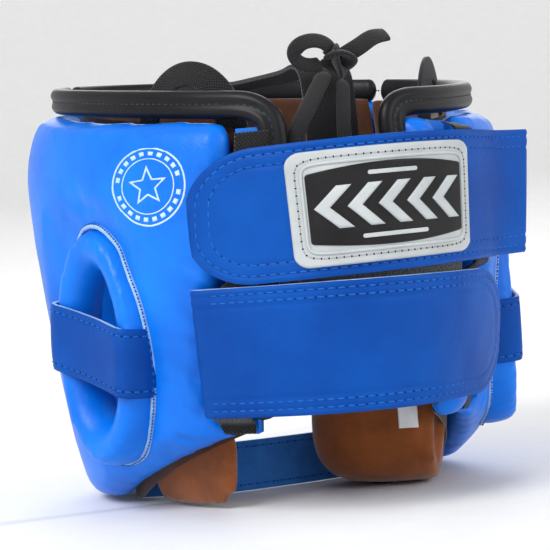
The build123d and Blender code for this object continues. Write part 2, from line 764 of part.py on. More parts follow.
for label, shape in nodes.items():
    placed = Pos(shift.X, shift.Y, shift.Z) * shape
    export_step(placed, "parts/" + label + ".step")

for name in straps:
    path = straps[name]["path"]
    low, high = path.hinge(path.z_low), path.hinge(path.z_high)
    direction = (high - low).normalized()
    print(name, "hinge", tuple(low + shift), "axis", tuple(direction))
print("chin hinge", tuple(chin_hinge + shift))
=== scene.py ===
"""Boxing headgear: the looks of its padded shell, rear straps, chin strap and crown lace.

Everything is worked out in millimetres in the part's own frame and put into metres when a
mesh is made. The shell is one egg-shaped skin; a place on it is an angle from the brow
(degrees, + to the wearer's left), a depth inside the skin and a height.
"""
from math import cos, pi, radians, sin, tan

import bmesh
import bpy
import numpy as np
from mathutils import Matrix, Vector


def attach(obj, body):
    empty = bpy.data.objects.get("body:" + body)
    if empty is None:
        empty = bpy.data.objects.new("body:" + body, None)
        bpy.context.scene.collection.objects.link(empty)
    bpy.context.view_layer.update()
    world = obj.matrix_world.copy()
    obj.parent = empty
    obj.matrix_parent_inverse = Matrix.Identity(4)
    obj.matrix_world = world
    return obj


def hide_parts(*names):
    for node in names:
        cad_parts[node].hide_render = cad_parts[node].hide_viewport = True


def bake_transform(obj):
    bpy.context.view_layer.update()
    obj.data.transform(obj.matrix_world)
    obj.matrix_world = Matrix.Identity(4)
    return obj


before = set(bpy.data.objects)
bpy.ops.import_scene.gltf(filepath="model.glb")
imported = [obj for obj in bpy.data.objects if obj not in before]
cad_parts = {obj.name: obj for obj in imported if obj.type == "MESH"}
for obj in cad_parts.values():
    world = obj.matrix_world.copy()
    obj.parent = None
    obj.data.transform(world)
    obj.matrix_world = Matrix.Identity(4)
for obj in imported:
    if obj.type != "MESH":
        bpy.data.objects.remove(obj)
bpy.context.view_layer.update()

# ---------------------------------------------------------------- sizes, millimetres
SHIFT = np.array([0.0, -6.713, 0.0])
METRE = 0.001
HALF_WIDTH = 112.0
HALF_DEPTH = 120.0
EGG = 0.26
WIDEST = 165.0
RIM_FRONT = 221.0
RIM_DROP = 0.15
BINDING_HEIGHT = 12.0
SEAM_Y = -78.0
BROW = 138.0
NAPE = 37.0
EAR_ANGLE = 101.0
EAR_HEIGHT = 80.0
RING = (31.0, 56.0)
HOLE = (15.5, 35.5)
SIDES = {"left": 1, "right": -1}
CLOSURE = {"left": {"edge": 38.0, "binding": 4.0, "pad": 0.0, "slope": 0.08},
           "right": {"edge": 8.0, "binding": 8.0, "pad": 20.0, "slope": 0.22}}
BAR_WIDTH = 14.0
GAP = 0.3
STRAP = 2.5
RUN_RADIUS = 0.93 * HALF_WIDTH


# ---------------------------------------------------------------- numbers and curves
def smooth(x):
    """Smooth step: 3x^2 - 2x^3 with x held between 0 and 1."""
    x = np.clip(x, 0.0, 1.0)
    return x * x * (3 - 2 * x)


def round_edge(distance, radius):
    """Quarter circle: 0 at an edge, rising to 1 at this radius from it."""
    q = 1 - np.clip(distance / radius, 0.0, 1.0)
    return np.sqrt(np.clip(1 - q * q, 0.0, 1.0))


def spaced(length, radius, step, fine=6):
    """Places from 0 to a length, crowded towards both ends by a cosine over the radius."""
    near = radius * (1 - np.cos(np.linspace(0, pi / 2, fine + 1)))
    count = max(int((length - 2 * radius) / step), 2)
    middle = np.linspace(radius, length - radius, count + 1)
    return np.concatenate([near[:-1], middle, (length - near[::-1])[1:]])


def through(points, count):
    """A Catmull-Rom curve through the points, evenly sampled by its chord length."""
    p = np.asarray(points, float)
    ends = np.vstack([2 * p[0] - p[1], p, 2 * p[-1] - p[-2]])
    fine = []
    t = np.linspace(0, 1, 24, endpoint=False)[:, None]
    for a, b, c, d in zip(ends, ends[1:], ends[2:], ends[3:]):
        fine.append(0.5 * (2 * b + (c - a) * t + (2 * a - 5 * b + 4 * c - d) * t ** 2
                           + (3 * b - a - 3 * c + d) * t ** 3))
    return evenly(np.vstack(fine + [p[-1:]]), count)


def evenly(line, count):
    """The same line sampled at equal steps of its length."""
    step = np.linalg.norm(np.diff(line, axis=0), axis=1)
    length = np.concatenate([[0.0], np.cumsum(step)])
    wanted = np.linspace(0, length[-1], count)
    return np.stack([np.interp(wanted, length, line[:, k]) for k in range(line.shape[1])], -1)


def unit(v):
    """Vectors divided by their own length."""
    return v / np.maximum(np.linalg.norm(v, axis=-1, keepdims=True), 1e-9)


def grid_normals(points):
    """Cross product of a grid's two directions, row by column."""
    du = np.gradient(points, axis=0)
    dv = np.gradient(points, axis=1)
    return unit(np.cross(du, dv))


# ---------------------------------------------------------------- the shell's skin
def girth(z):
    """Scale of the plan at a height: widest near the temples, drawn in below and above."""
    low = 1.02 - 0.16 * (np.clip(WIDEST - z, 0, None) / WIDEST) ** 1.4
    high = 1.02 - 0.05 * ((z - WIDEST) / 55.0) ** 2
    return np.where(z < WIDEST, low, high)


def skin_scaled(angle, depth, z, scale):
    """x = (w - d) sin a (1 + e cos a) s and y = -(h - d) cos a s at height z."""
    a = np.radians(angle)
    x = (HALF_WIDTH - depth) * np.sin(a) * (1 + EGG * np.cos(a)) * scale
    y = -(HALF_DEPTH - depth) * np.cos(a) * scale
    return np.stack(np.broadcast_arrays(x, y, z), -1)


def skin(angle, depth, z):
    z = np.asarray(z, float)
    return skin_scaled(angle, depth, z, girth(z))


def rim_height(y):
    return RIM_FRONT - RIM_DROP * (y + HALF_DEPTH - 5)


def angle_where(x, z, low, high, depth=0.0):
    """The angle between two limits where the skin lies x from the middle, by halving."""
    x, z = np.broadcast_arrays(np.asarray(x, float), np.asarray(z, float))
    lo = np.full(x.shape, float(low))
    hi = np.full(x.shape, float(high))
    sign = 1.0 if high < 90 else -1.0
    for _ in range(40):
        mid = (lo + hi) / 2
        below = sign * (skin(mid, depth, z)[..., 0] - x) < 0
        lo = np.where(below, mid, lo)
        hi = np.where(below, hi, mid)
    return (lo + hi) / 2


def angle_of_y(y, z):
    """The angle where the skin lies at this y."""
    return np.degrees(np.arccos(np.clip(-y / (HALF_DEPTH * girth(np.asarray(z, float))), -1, 1)))


def closure_x(name, z, offset):
    """Distance of a line along the rear closure from the middle plane."""
    c = CLOSURE[name]
    return c["edge"] + offset + c["slope"] * (180.0 - np.maximum(z, 60.0))


def closure_offsets(name):
    """Where the rear pad, the groove and the side pad of a panel start."""
    pad = CLOSURE[name]["binding"] + GAP
    bar = pad + (CLOSURE[name]["pad"] + GAP if CLOSURE[name]["pad"] else 0.0)
    return pad, bar, bar + BAR_WIDTH + GAP


# ---------------------------------------------------------------- meshes
def build(name, points, faces, uvs, groups, finishes):
    """Puts whole arrays into a mesh: points in millimetres, faces as rows of four."""
    mesh = bpy.data.meshes.new(name)
    mesh.vertices.add(len(points))
    mesh.vertices.foreach_set("co", ((points + SHIFT) * METRE).astype(np.float32).ravel())
    mesh.loops.add(faces.size)
    mesh.loops.foreach_set("vertex_index", faces.astype(np.int32).ravel())
    mesh.polygons.add(len(faces))
    mesh.polygons.foreach_set("loop_start", np.arange(0, faces.size, 4, dtype=np.int32))
    mesh.polygons.foreach_set("material_index", groups.astype(np.int32))
    mesh.polygons.foreach_set("use_smooth", np.ones(len(faces), bool))
    layer = mesh.uv_layers.new(name="surface")
    layer.data.foreach_set("uv", (uvs * METRE).astype(np.float32).ravel())
    mesh.update(calc_edges=True)
    for finish in finishes:
        mesh.materials.append(finish)
    piece = bpy.data.objects.new(name, mesh)
    bpy.context.scene.collection.objects.link(piece)
    outward(piece)
    return piece


def outward(piece, merge=0.01):
    """Merges doubled points and turns every face of the closed piece outwards."""
    work = bmesh.new()
    work.from_mesh(piece.data)
    bmesh.ops.remove_doubles(work, verts=work.verts, dist=merge * METRE)
    bmesh.ops.dissolve_degenerate(work, edges=work.edges, dist=0.002 * METRE)
    bmesh.ops.recalc_face_normals(work, faces=work.faces)
    if work.calc_volume(signed=True) < 0:
        bmesh.ops.reverse_faces(work, faces=work.faces)
    work.to_mesh(piece.data)
    work.free()
    piece.data.update()


def grid_cells(rows, columns, around=False):
    """Corner numbers of every cell of a grid, and their unwrapped row and column."""
    i = np.arange(rows if around else rows - 1)
    j = np.arange(columns - 1)
    a, b = (k.ravel() for k in np.meshgrid(i, j, indexing="ij"))
    corner_i = np.stack([a, a + 1, a + 1, a], -1)
    corner_j = np.stack([b, b, b + 1, b + 1], -1)
    return corner_i, corner_j


def slab(name, front, back, u, v, finishes, around=False):
    """A closed wall between two grids: front faces are group 0, back 1 and sides 2.

    u and v are the lengths along the rows and columns, for the piece's own UV map.
    """
    rows, columns = front.shape[:2]
    points = np.concatenate([front.reshape(-1, 3), back.reshape(-1, 3)])
    ci, cj = grid_cells(rows, columns, around)
    number = (ci % rows) * columns + cj
    u = np.append(u, 2 * u[-1] - u[-2])
    place = np.stack([u[ci], v[cj]], -1)
    faces = [number, number[:, ::-1] + rows * columns]
    uvs = [place, place[:, ::-1]]
    groups = [np.zeros(len(number)), np.ones(len(number))]
    edges = []
    k = np.arange(rows if around else rows - 1)
    for j in (0, columns - 1):
        edges.append((k, np.full(len(k), j), k + 1, np.full(len(k), j)))
    if not around:
        k = np.arange(columns - 1)
        for i in (0, rows - 1):
            edges.append((np.full(len(k), i), k, np.full(len(k), i), k + 1))
    for ai, aj, bi, bj in edges:
        a, b = (ai % rows) * columns + aj, (bi % rows) * columns + bj
        far_side = rows * columns
        faces.append(np.stack([a, b, b + far_side, a + far_side], -1))
        start, end = np.stack([u[ai], v[aj]], -1), np.stack([u[bi], v[bj]], -1)
        uvs.append(np.stack([start, end, end, start], 1))
        groups.append(np.full(len(a), 2.0))
    groups = np.minimum(np.concatenate(groups), len(finishes) - 1)
    return build(name, points, np.concatenate(faces), np.concatenate(uvs).reshape(-1, 2),
                 groups, finishes)


def loop_along(name, line, side, up, section, finishes, closed=False, scale=None):
    """Carries a closed section (across, up) along a line, with both ends drawn shut.

    Each section point is line + side * across + up * height; section is (count, 2), and
    scale shrinks it place by place.
    """
    count = len(line)
    if scale is None:
        scale = np.ones(count)
        if not closed:
            scale[:3] = scale[-3:][::-1] = (0.02, 0.6, 0.9)
    section = np.asarray(section, float)
    across = section[None, :, 0, None] * scale[:, None, None]
    height = section[None, :, 1, None] * scale[:, None, None]
    rings = line[:, None] + side[:, None] * across + up[:, None] * height
    rows, columns = rings.shape[:2]
    step = np.linalg.norm(np.diff(line, axis=0), axis=1)
    u = np.concatenate([[0.0], np.cumsum(step)])
    u = np.append(u, u[-1] + step[-1])
    around = np.linalg.norm(np.diff(np.vstack([section, section[:1]]), axis=0), axis=1)
    v = np.concatenate([[0.0], np.cumsum(around)])
    i = np.arange(rows if closed else rows - 1)
    j = np.arange(columns)
    a, b = (k.ravel() for k in np.meshgrid(i, j, indexing="ij"))
    ci = np.stack([a, a + 1, a + 1, a], -1)
    cj = np.stack([b, b, b + 1, b + 1], -1)
    faces = (ci % rows) * columns + cj % columns
    uvs = np.stack([u[ci], v[cj]], -1).reshape(-1, 2)
    points = rings.reshape(-1, 3)
    if not closed:
        ends, end_uvs = [], []
        half = columns // 2
        k = np.arange(half - 1)
        for row in (0, rows - 1):
            base = row * columns
            ends.append(np.stack([base + k, base + k + 1, base + columns - 2 - k,
                                  base + columns - 1 - k], -1))
            end_uvs.append(np.zeros((4 * len(k), 2)))
        faces = np.concatenate([faces] + ends)
        uvs = np.concatenate([uvs] + end_uvs)
    return build(name, points, faces, uvs, np.zeros(len(faces)), finishes)


def stitches(name, line, out, finish, length=3.2, gap=1.2, radius=0.38, sink=0.1, hole=0.5):
    """A row of thread: short rounded six-sided dashes laid along a line on a surface.

    Between two dashes a dark six-sided disc paints the shade inside the needle hole.
    """
    line, out = np.asarray(line, float), np.asarray(out, float)
    step = np.linalg.norm(np.diff(line, axis=0), axis=1)
    run = np.concatenate([[0.0], np.cumsum(step)])
    count = max(int(run[-1] / (length + gap)), 1)
    start = (np.arange(count) + 0.5) * run[-1] / count - length / 2
    swell = np.array([0.05, 0.75, 1.0, 0.75, 0.05])
    along = np.array([0.0, 0.12, 0.5, 0.88, 1.0])
    place = start[:, None] + along[None] * length
    at = np.stack([np.interp(place, run, line[:, k]) for k in range(3)], -1)
    normal = unit(np.stack([np.interp(place, run, out[:, k]) for k in range(3)], -1))
    forward = unit(at[:, -1] - at[:, 0])[:, None]
    sideways = unit(np.cross(np.broadcast_to(forward, normal.shape), normal))
    turn = np.arange(6) * pi / 3
    ring = (sideways[:, :, None] * np.cos(turn)[None, None, :, None]
            + normal[:, :, None] * np.sin(turn)[None, None, :, None])
    arch = np.array([-0.5, 0.35, 0.6, 0.35, -0.5]) * radius
    centre = at + normal * (arch - sink)[None, :, None]
    points = centre[:, :, None] + ring * (radius * swell)[None, :, None, None]
    i, j = (k.ravel() for k in np.meshgrid(np.arange(4), np.arange(6), indexing="ij"))
    cell = np.stack([i * 6 + j, (i + 1) * 6 + j, (i + 1) * 6 + (j + 1) % 6, i * 6 + (j + 1) % 6], -1)
    caps = np.array([[0, 1, 2, 3], [0, 3, 4, 5], [24, 25, 26, 27], [24, 27, 28, 29]])
    cell = np.concatenate([cell, caps])
    faces = (cell[None] + 30 * np.arange(count)[:, None, None]).reshape(-1, 4)
    # Dark discs between the dashes: painted shade for the needle holes.
    pit = at[:, 0] - forward[:, 0] * gap / 2
    spread = forward * np.cos(turn)[None, :, None] * 0.8 + sideways[:, :1] * np.sin(turn)[None, :, None]
    lid = pit[:, None] + spread * hole + normal[:, :1] * 0.12
    under = pit[:, None] + spread * hole - normal[:, :1] * 0.5
    hole_shade_discs = np.concatenate([lid, under], 1).reshape(-1, 3)
    k = np.arange(6)
    wall = np.stack([k, (k + 1) % 6, (k + 1) % 6 + 6, k + 6], -1)
    ends = np.array([[0, 1, 2, 3], [0, 3, 4, 5], [6, 7, 8, 9], [6, 9, 10, 11]])
    cell = np.concatenate([wall, ends])
    hole_shade_faces = (cell[None] + 12 * np.arange(count)[:, None, None]).reshape(-1, 4) + points.size // 3
    groups = np.concatenate([np.zeros(len(faces)), np.ones(len(hole_shade_faces))])
    faces = np.concatenate([faces, hole_shade_faces])
    uvs = np.zeros((faces.size, 2))
    uvs[:, 0] = np.tile([0.0, 1.0, 1.0, 0.0], len(faces))
    points = np.concatenate([points.reshape(-1, 3), hole_shade_discs])
    return build(name, points, faces, uvs, groups, [finish, NEEDLE_HOLE_SHADE])


# ---------------------------------------------------------------- finishes
def new_finish(name):
    """A Principled surface, its node tree and a Texture Coordinate node."""
    finish = bpy.data.materials.new(name)
    finish.use_nodes = True
    tree = finish.node_tree
    surface = tree.nodes["Principled BSDF"]
    place = tree.nodes.new("ShaderNodeTexCoord")
    return finish, tree, surface, place


def noise(tree, place, scale, detail=3.0, roughness=0.55):
    node = tree.nodes.new("ShaderNodeTexNoise")
    node.inputs["Scale"].default_value = scale
    node.inputs["Detail"].default_value = detail
    node.inputs["Roughness"].default_value = roughness
    tree.links.new(place, node.inputs["Vector"])
    return node.outputs["Fac"]


def ramp(tree, value, low, high):
    """Two or more colours, or greys, spread over a value from 0 to 1."""
    node = tree.nodes.new("ShaderNodeValToRGB")
    node.color_ramp.elements[0].position, node.color_ramp.elements[1].position = low[0], high[0]
    node.color_ramp.elements[0].color, node.color_ramp.elements[1].color = low[1], high[1]
    tree.links.new(value, node.inputs["Fac"])
    return node.outputs["Color"]


def combine(tree, operation, a, b):
    node = tree.nodes.new("ShaderNodeMath")
    node.operation = operation
    for socket, value in zip(node.inputs, (a, b)):
        if isinstance(value, (int, float)):
            socket.default_value = value
        elif value is not None:
            tree.links.new(value, socket)
    return node.outputs[0]


def bump(tree, surface, height, depth_mm, strength=1.0):
    """Relief of a given depth from a height between 0 and 1."""
    node = tree.nodes.new("ShaderNodeBump")
    node.inputs["Strength"].default_value = strength
    node.inputs["Distance"].default_value = depth_mm * METRE
    tree.links.new(height, node.inputs["Height"])
    tree.links.new(node.outputs["Normal"], surface.inputs["Normal"])
    return node


def leather(name, dark, light, shine=(0.30, 0.46), grain=0.10, grain_scale=1050.0, coat=0.05,
            specular=0.22):
    """Grained leather: small cells for the grain, soft cloudy colour and uneven shine."""
    finish, tree, surface, place = new_finish(name)
    where = place.outputs["Object"]
    cells = tree.nodes.new("ShaderNodeTexVoronoi")
    cells.inputs["Scale"].default_value = grain_scale
    tree.links.new(where, cells.inputs["Vector"])
    broad = noise(tree, where, 24.0, 3.0)
    fine = noise(tree, where, 420.0, 4.0, 0.6)
    tree.links.new(ramp(tree, broad, (0.32, (*dark, 1)), (0.68, (*light, 1))),
                   surface.inputs["Base Color"])
    rough = combine(tree, "MULTIPLY_ADD", fine, shine[1] - shine[0])
    rough.node.inputs[2].default_value = shine[0]
    tree.links.new(rough, surface.inputs["Roughness"])
    relief = combine(tree, "MULTIPLY_ADD", cells.outputs["Distance"], 0.8)
    tree.links.new(fine, relief.node.inputs[2])
    bump(tree, surface, relief, grain)
    surface.inputs["Specular IOR Level"].default_value = specular
    surface.inputs["Coat Weight"].default_value = coat
    surface.inputs["Coat Roughness"].default_value = 0.28
    return finish


def suede(name, dark, light):
    """Napped leather: no shine, brushed clouds of two shades and a fine fuzzy relief."""
    finish, tree, surface, place = new_finish(name)
    where = place.outputs["Object"]
    clouds = noise(tree, where, 45.0, 5.0, 0.65)
    nap = noise(tree, where, 1500.0, 4.0, 0.75)
    mixed = combine(tree, "MULTIPLY_ADD", nap, 0.35)
    tree.links.new(clouds, mixed.node.inputs[2])
    tree.links.new(ramp(tree, mixed, (0.45, (*dark, 1)), (0.85, (*light, 1))),
                   surface.inputs["Base Color"])
    bump(tree, surface, mixed, 0.35)
    surface.inputs["Roughness"].default_value = 0.92
    surface.inputs["Specular IOR Level"].default_value = 0.2
    surface.inputs["Sheen Weight"].default_value = 0.35
    surface.inputs["Sheen Roughness"].default_value = 0.5
    return finish


def webbing(name, dark, light, across=1.4, along=1.9, depth=0.35, rough=0.72):
    """Woven tape on the piece's own UV map: ribs along it crossed by the weft."""
    finish, tree, surface, place = new_finish(name)
    parts = tree.nodes.new("ShaderNodeSeparateXYZ")
    tree.links.new(place.outputs["UV"], parts.inputs[0])
    wave_u = combine(tree, "SINE", combine(tree, "MULTIPLY", parts.outputs[0], 2000 * pi / along), None)
    wave_v = combine(tree, "SINE", combine(tree, "MULTIPLY", parts.outputs[1], 2000 * pi / across), None)
    both = combine(tree, "MULTIPLY", wave_u, wave_v)
    raised = combine(tree, "MULTIPLY_ADD", both, 0.5)
    raised.node.inputs[2].default_value = 0.5
    fuzz = noise(tree, place.outputs["Object"], 1400.0, 4.0, 0.7)
    height = combine(tree, "MULTIPLY_ADD", fuzz, 0.5)
    tree.links.new(raised, height.node.inputs[2])
    tree.links.new(ramp(tree, height, (0.25, (*dark, 1)), (1.15, (*light, 1))),
                   surface.inputs["Base Color"])
    bump(tree, surface, height, depth)
    surface.inputs["Roughness"].default_value = rough
    surface.inputs["Specular IOR Level"].default_value = 0.12
    surface.inputs["Sheen Weight"].default_value = 0.2
    return finish


def plain(name, dark, light, rough, relief=0.03, scale=900.0, coat=0.0):
    """Moulded or printed material: a slightly uneven colour and a very fine relief."""
    finish, tree, surface, place = new_finish(name)
    where = place.outputs["Object"]
    spots = noise(tree, where, scale, 4.0)
    clouds = noise(tree, where, 60.0, 3.0)
    tree.links.new(ramp(tree, clouds, (0.3, (*dark, 1)), (0.7, (*light, 1))),
                   surface.inputs["Base Color"])
    bump(tree, surface, spots, relief)
    surface.inputs["Roughness"].default_value = rough
    surface.inputs["Specular IOR Level"].default_value = 0.2
    surface.inputs["Coat Weight"].default_value = coat
    return finish


def fuzzy(name, dark, light, scale=900.0, depth=0.9):
    """Hook and loop tape: a dense pile of tiny tufts."""
    finish, tree, surface, place = new_finish(name)
    where = place.outputs["Object"]
    tufts = tree.nodes.new("ShaderNodeTexVoronoi")
    tufts.inputs["Scale"].default_value = scale
    tree.links.new(where, tufts.inputs["Vector"])
    lint = noise(tree, where, 2600.0, 4.0, 0.8)
    height = combine(tree, "MULTIPLY_ADD", tufts.outputs["Distance"], -0.9)
    tree.links.new(lint, height.node.inputs[2])
    tree.links.new(ramp(tree, height, (0.05, (*dark, 1)), (0.85, (*light, 1))),
                   surface.inputs["Base Color"])
    bump(tree, surface, height, depth)
    surface.inputs["Roughness"].default_value = 0.95
    surface.inputs["Sheen Weight"].default_value = 0.3
    return finish


BLUE = leather("panel_leather", (0.0, 0.125, 0.62), (0.0, 0.19, 0.80))
STRAP_BLUE = leather("strap_leather_face", (0.0, 0.048, 0.28), (0.0, 0.072, 0.37),
                     shine=(0.40, 0.54), coat=0.0, specular=0.12)
STRAP_BACK = suede("strap_leather_back", (0.01, 0.10, 0.38), (0.03, 0.18, 0.55))
RAW_EDGE = suede("cut_leather_edge", (0.10, 0.30, 0.62), (0.45, 0.62, 0.85))
SUEDE = suede("lining_suede", (0.13, 0.034, 0.006), (0.26, 0.070, 0.012))
# Painted shade: a darker copy of the lining suede for the shadowed inside of the shell.
SHADED_LINING_SUEDE = suede("lining_suede_painted_shade", (0.035, 0.012, 0.005), (0.08, 0.026, 0.009))
BLACK = leather("binding_leather", (0.004, 0.004, 0.005), (0.010, 0.010, 0.012),
                shine=(0.36, 0.48), grain=0.05, coat=0.05, specular=0.18)
WEB = webbing("black_webbing_weave", (0.002, 0.002, 0.002), (0.018, 0.018, 0.02))
LACE = webbing("lace_braid", (0.002, 0.002, 0.002), (0.02, 0.02, 0.022), across=1.1, along=1.5,
               depth=0.25)
TAPE = fuzzy("hook_and_loop_pile", (0.003, 0.003, 0.004), (0.035, 0.035, 0.04))
THREAD = plain("blue_thread", (0.005, 0.09, 0.40), (0.01, 0.14, 0.55), 0.7, 0.05)
# Painted shade: the colour of the dark discs that stand for the shadow inside needle holes.
NEEDLE_HOLE_SHADE = plain("needle_hole_painted_shade", (0.0, 0.008, 0.06), (0.0, 0.012, 0.08), 0.9, 0.02)
DARK_THREAD = plain("deep_blue_thread", (0.01, 0.06, 0.30), (0.02, 0.10, 0.42), 0.6, 0.05)
BLACK_THREAD = plain("black_thread", (0.02, 0.02, 0.022), (0.06, 0.06, 0.065), 0.6, 0.05)
GREY_THREAD = plain("grey_thread", (0.30, 0.29, 0.28), (0.45, 0.44, 0.42), 0.6, 0.05)
BADGE_WHITE = plain("badge_white", (0.40, 0.43, 0.44), (0.48, 0.51, 0.52), 0.38, 0.05)
BADGE_BLACK = plain("badge_black", (0.006, 0.006, 0.007), (0.012, 0.012, 0.013), 0.33, 0.05)
PRINT = plain("silver_print", (0.42, 0.60, 0.88), (0.55, 0.72, 0.95), 0.45, 0.02)
LABEL = plain("label_cloth", (0.70, 0.70, 0.68), (0.80, 0.80, 0.78), 0.8, 0.12, 2200.0)


# ---------------------------------------------------------------- soft goods
PRESSURE = 4.0
CLOTH_FRAMES = 20


def inflate(piece, voxel=4.5, cap=4.0):
    """Evens the mesh out, blows it up as cloth under pressure and keeps the result.

    No point moves further than the cap.
    """
    bpy.context.view_layer.objects.active = piece
    remesh = piece.modifiers.new("even", "REMESH")
    remesh.mode = "VOXEL"
    remesh.voxel_size = voxel * METRE
    bpy.ops.object.modifier_apply(modifier=remesh.name)
    rest = read_points(piece)
    cloth = piece.modifiers.new("inflate", "CLOTH")
    settings = cloth.settings
    settings.quality = 5
    settings.mass = 0.3
    settings.tension_stiffness = settings.compression_stiffness = 12.0
    settings.shear_stiffness = 6.0
    settings.bending_stiffness = 0.4
    settings.use_pressure = True
    settings.uniform_pressure_force = PRESSURE
    settings.effector_weights.gravity = 0.0
    cloth.collision_settings.use_collision = False
    cloth.point_cache.frame_start = 1
    cloth.point_cache.frame_end = CLOTH_FRAMES
    for number in range(1, CLOTH_FRAMES + 1):
        bpy.context.scene.frame_set(number)
    graph = bpy.context.evaluated_depsgraph_get()
    moved = read_points(piece.evaluated_get(graph))
    piece.modifiers.remove(cloth)
    bpy.context.scene.frame_set(1)
    move = moved - rest
    size = np.linalg.norm(move, axis=1, keepdims=True)
    move *= np.minimum(1.0, cap / np.maximum(size, 1e-6))
    write_points(piece, rest + move)
    finer = piece.modifiers.new("finer", "SUBSURF")
    finer.levels = finer.render_levels = 1
    bpy.ops.object.modifier_apply(modifier=finer.name)
    piece.data.polygons.foreach_set("use_smooth", np.ones(len(piece.data.polygons), bool))
    return piece


def read_points(piece):
    """The piece's points in millimetres, in the part's own frame."""
    flat = np.empty(len(piece.data.vertices) * 3, np.float32)
    piece.data.vertices.foreach_get("co", flat)
    return flat.reshape(-1, 3).astype(float) / METRE - SHIFT


def write_points(piece, points):
    piece.data.vertices.foreach_set("co", ((points + SHIFT) * METRE).astype(np.float32).ravel())
    piece.data.update()


def creases(piece, lines):
    """Presses folds into a skin: each is a line, a depth and a width.

    A point sinks by depth * exp(-(d/w)^2) and rises a third as much at twice that distance,
    with d its distance from the line, fading towards the line's ends.
    """
    points = read_points(piece)
    flat = np.empty(len(points) * 3, np.float32)
    piece.data.vertices.foreach_get("normal", flat)
    normal = flat.reshape(-1, 3).astype(float)
    lift = np.zeros(len(points))
    for line, depth, width in lines:
        line = np.asarray(line, float)
        box_low, box_high = line.min(0) - 5 * width, line.max(0) + 5 * width
        near = np.where(np.all((points > box_low) & (points < box_high), axis=1))[0]
        if len(near) == 0:
            continue
        offset = points[near][:, None] - line[None]
        gap = np.linalg.norm(offset, axis=2)
        nearest = gap.argmin(1)
        d = gap[np.arange(len(near)), nearest] / width
        end = nearest / (len(line) - 1)
        fade = np.sin(pi * np.clip(end, 0.02, 0.98)) ** 0.6
        lift[near] += fade * depth * (0.35 * np.exp(-((d - 1.9) / 0.8) ** 2) - np.exp(-d * d))
    write_points(piece, points + normal * lift[:, None])
    return piece


def settle(piece, body, nodes):
    """Says which body the piece rides on and hides the parts it stands for."""
    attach(piece, body)
    if nodes:
        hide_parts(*nodes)
    return piece


def with_thread(name, line, out, body, finish=None, **sizes):
    """A stitch row that rides on a body."""
    row = stitches(name, line, out, finish or THREAD, **sizes)
    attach(row, body)
    return row


# ---------------------------------------------------------------- padded side panels
PER_DEGREE = 2.14           # millimetres along the skin per degree, near the ear


def panel_outline(name, count=420):
    """The side panel's outline as (angle, z): seam, rim, rear edge, nape, cheek, face."""
    start = closure_offsets(name)[2]
    seam = SEAM_Y + GAP / 2
    z_up = np.linspace(BROW, rim_height(seam) - BINDING_HEIGHT, 12)
    seam_line = np.stack([angle_of_y(seam, z_up), z_up], -1)
    top_angle = np.linspace(seam_line[-1, 0], 150.0, 60)
    z_top = np.full(60, 205.0)
    for _ in range(4):
        z_top = rim_height(skin(top_angle, 0.0, z_top)[:, 1]) - BINDING_HEIGHT
    rear_top = rim_height(110.0) - BINDING_HEIGHT
    z_rear = np.linspace(rear_top, NAPE, 60)
    rear = np.stack([angle_where(closure_x(name, z_rear, start), z_rear, 90, 180), z_rear], -1)
    keep = top_angle < rear[0, 0] - 2
    top_line = np.stack([top_angle, z_top], -1)[keep]
    y_slope = np.linspace(80.0, -20.0, 30)
    z_slope = NAPE * (y_slope + 20) / 100
    slope = np.stack([angle_of_y(y_slope, z_slope), z_slope], -1)
    nape_angle = np.linspace(rear[-1, 0], slope[0, 0], 12)[1:-1]
    nape = np.stack([nape_angle, np.full(10, NAPE)], -1)
    front_z = np.array([0.0, 2.0, 13.0, 24.0, 52.0, 80.0, 91.0, 102.0, 120.0, 138.0])
    front_x = np.array([72.0, 72.0, 64.0, 56.0, 56.0, 56.0, 64.0, 72.0, 72.0, 72.0])
    front = np.stack([angle_where(front_x, front_z, 0, 70), front_z], -1)
    base_angle = np.linspace(slope[-1, 0], front[0, 0], 20)[1:-1]
    base = np.stack([base_angle, np.zeros(18)], -1)
    brow_angle = np.linspace(front[-1, 0], seam_line[0, 0], 5)[1:-1]
    brow = np.stack([brow_angle, np.full(3, BROW)], -1)
    ring = np.vstack([seam_line, top_line, rear, nape, slope, base, front, brow])
    ring = ring * (PER_DEGREE, 1.0)
    closed = np.vstack([ring, ring[:1]])
    even = evenly(closed, count + 1)[:-1]
    for _ in range(6):
        even = 0.5 * even + 0.25 * (np.roll(even, 1, 0) + np.roll(even, -1, 0))
    return even


def panel_grid(name, hole, inset, radius, step=3.2):
    """Places (angle, z) between the ear hole and the outline, and distance to the edges."""
    outline = panel_outline(name)
    centre = np.array([EAR_ANGLE * PER_DEGREE, EAR_HEIGHT])
    ray = outline - centre
    length = np.linalg.norm(ray, axis=1)
    toward = ray / length[:, None]
    inner = 1 / np.sqrt((toward[:, 0] / hole[0]) ** 2 + (toward[:, 1] / hole[1]) ** 2)
    span = length - inset - inner
    shares = spaced(150.0, radius, step) / 150.0
    reach = inner[:, None] + span[:, None] * shares[None]
    place = centre + toward[:, None] * reach[..., None]
    to_hole = span[:, None] * shares[None]
    rim = outline - toward * inset
    offset = place[:, :, None] - rim[None, None, ::2]
    to_edge = np.sqrt((offset ** 2).sum(-1)).min(-1)
    to_edge = np.minimum(to_edge, span[:, None] * (1 - shares[None]))
    return place[..., 0] / PER_DEGREE, place[..., 1], to_edge, to_hole


def place_panel(name, angle, depth, z):
    return skin(SIDES[name] * angle, depth, z)


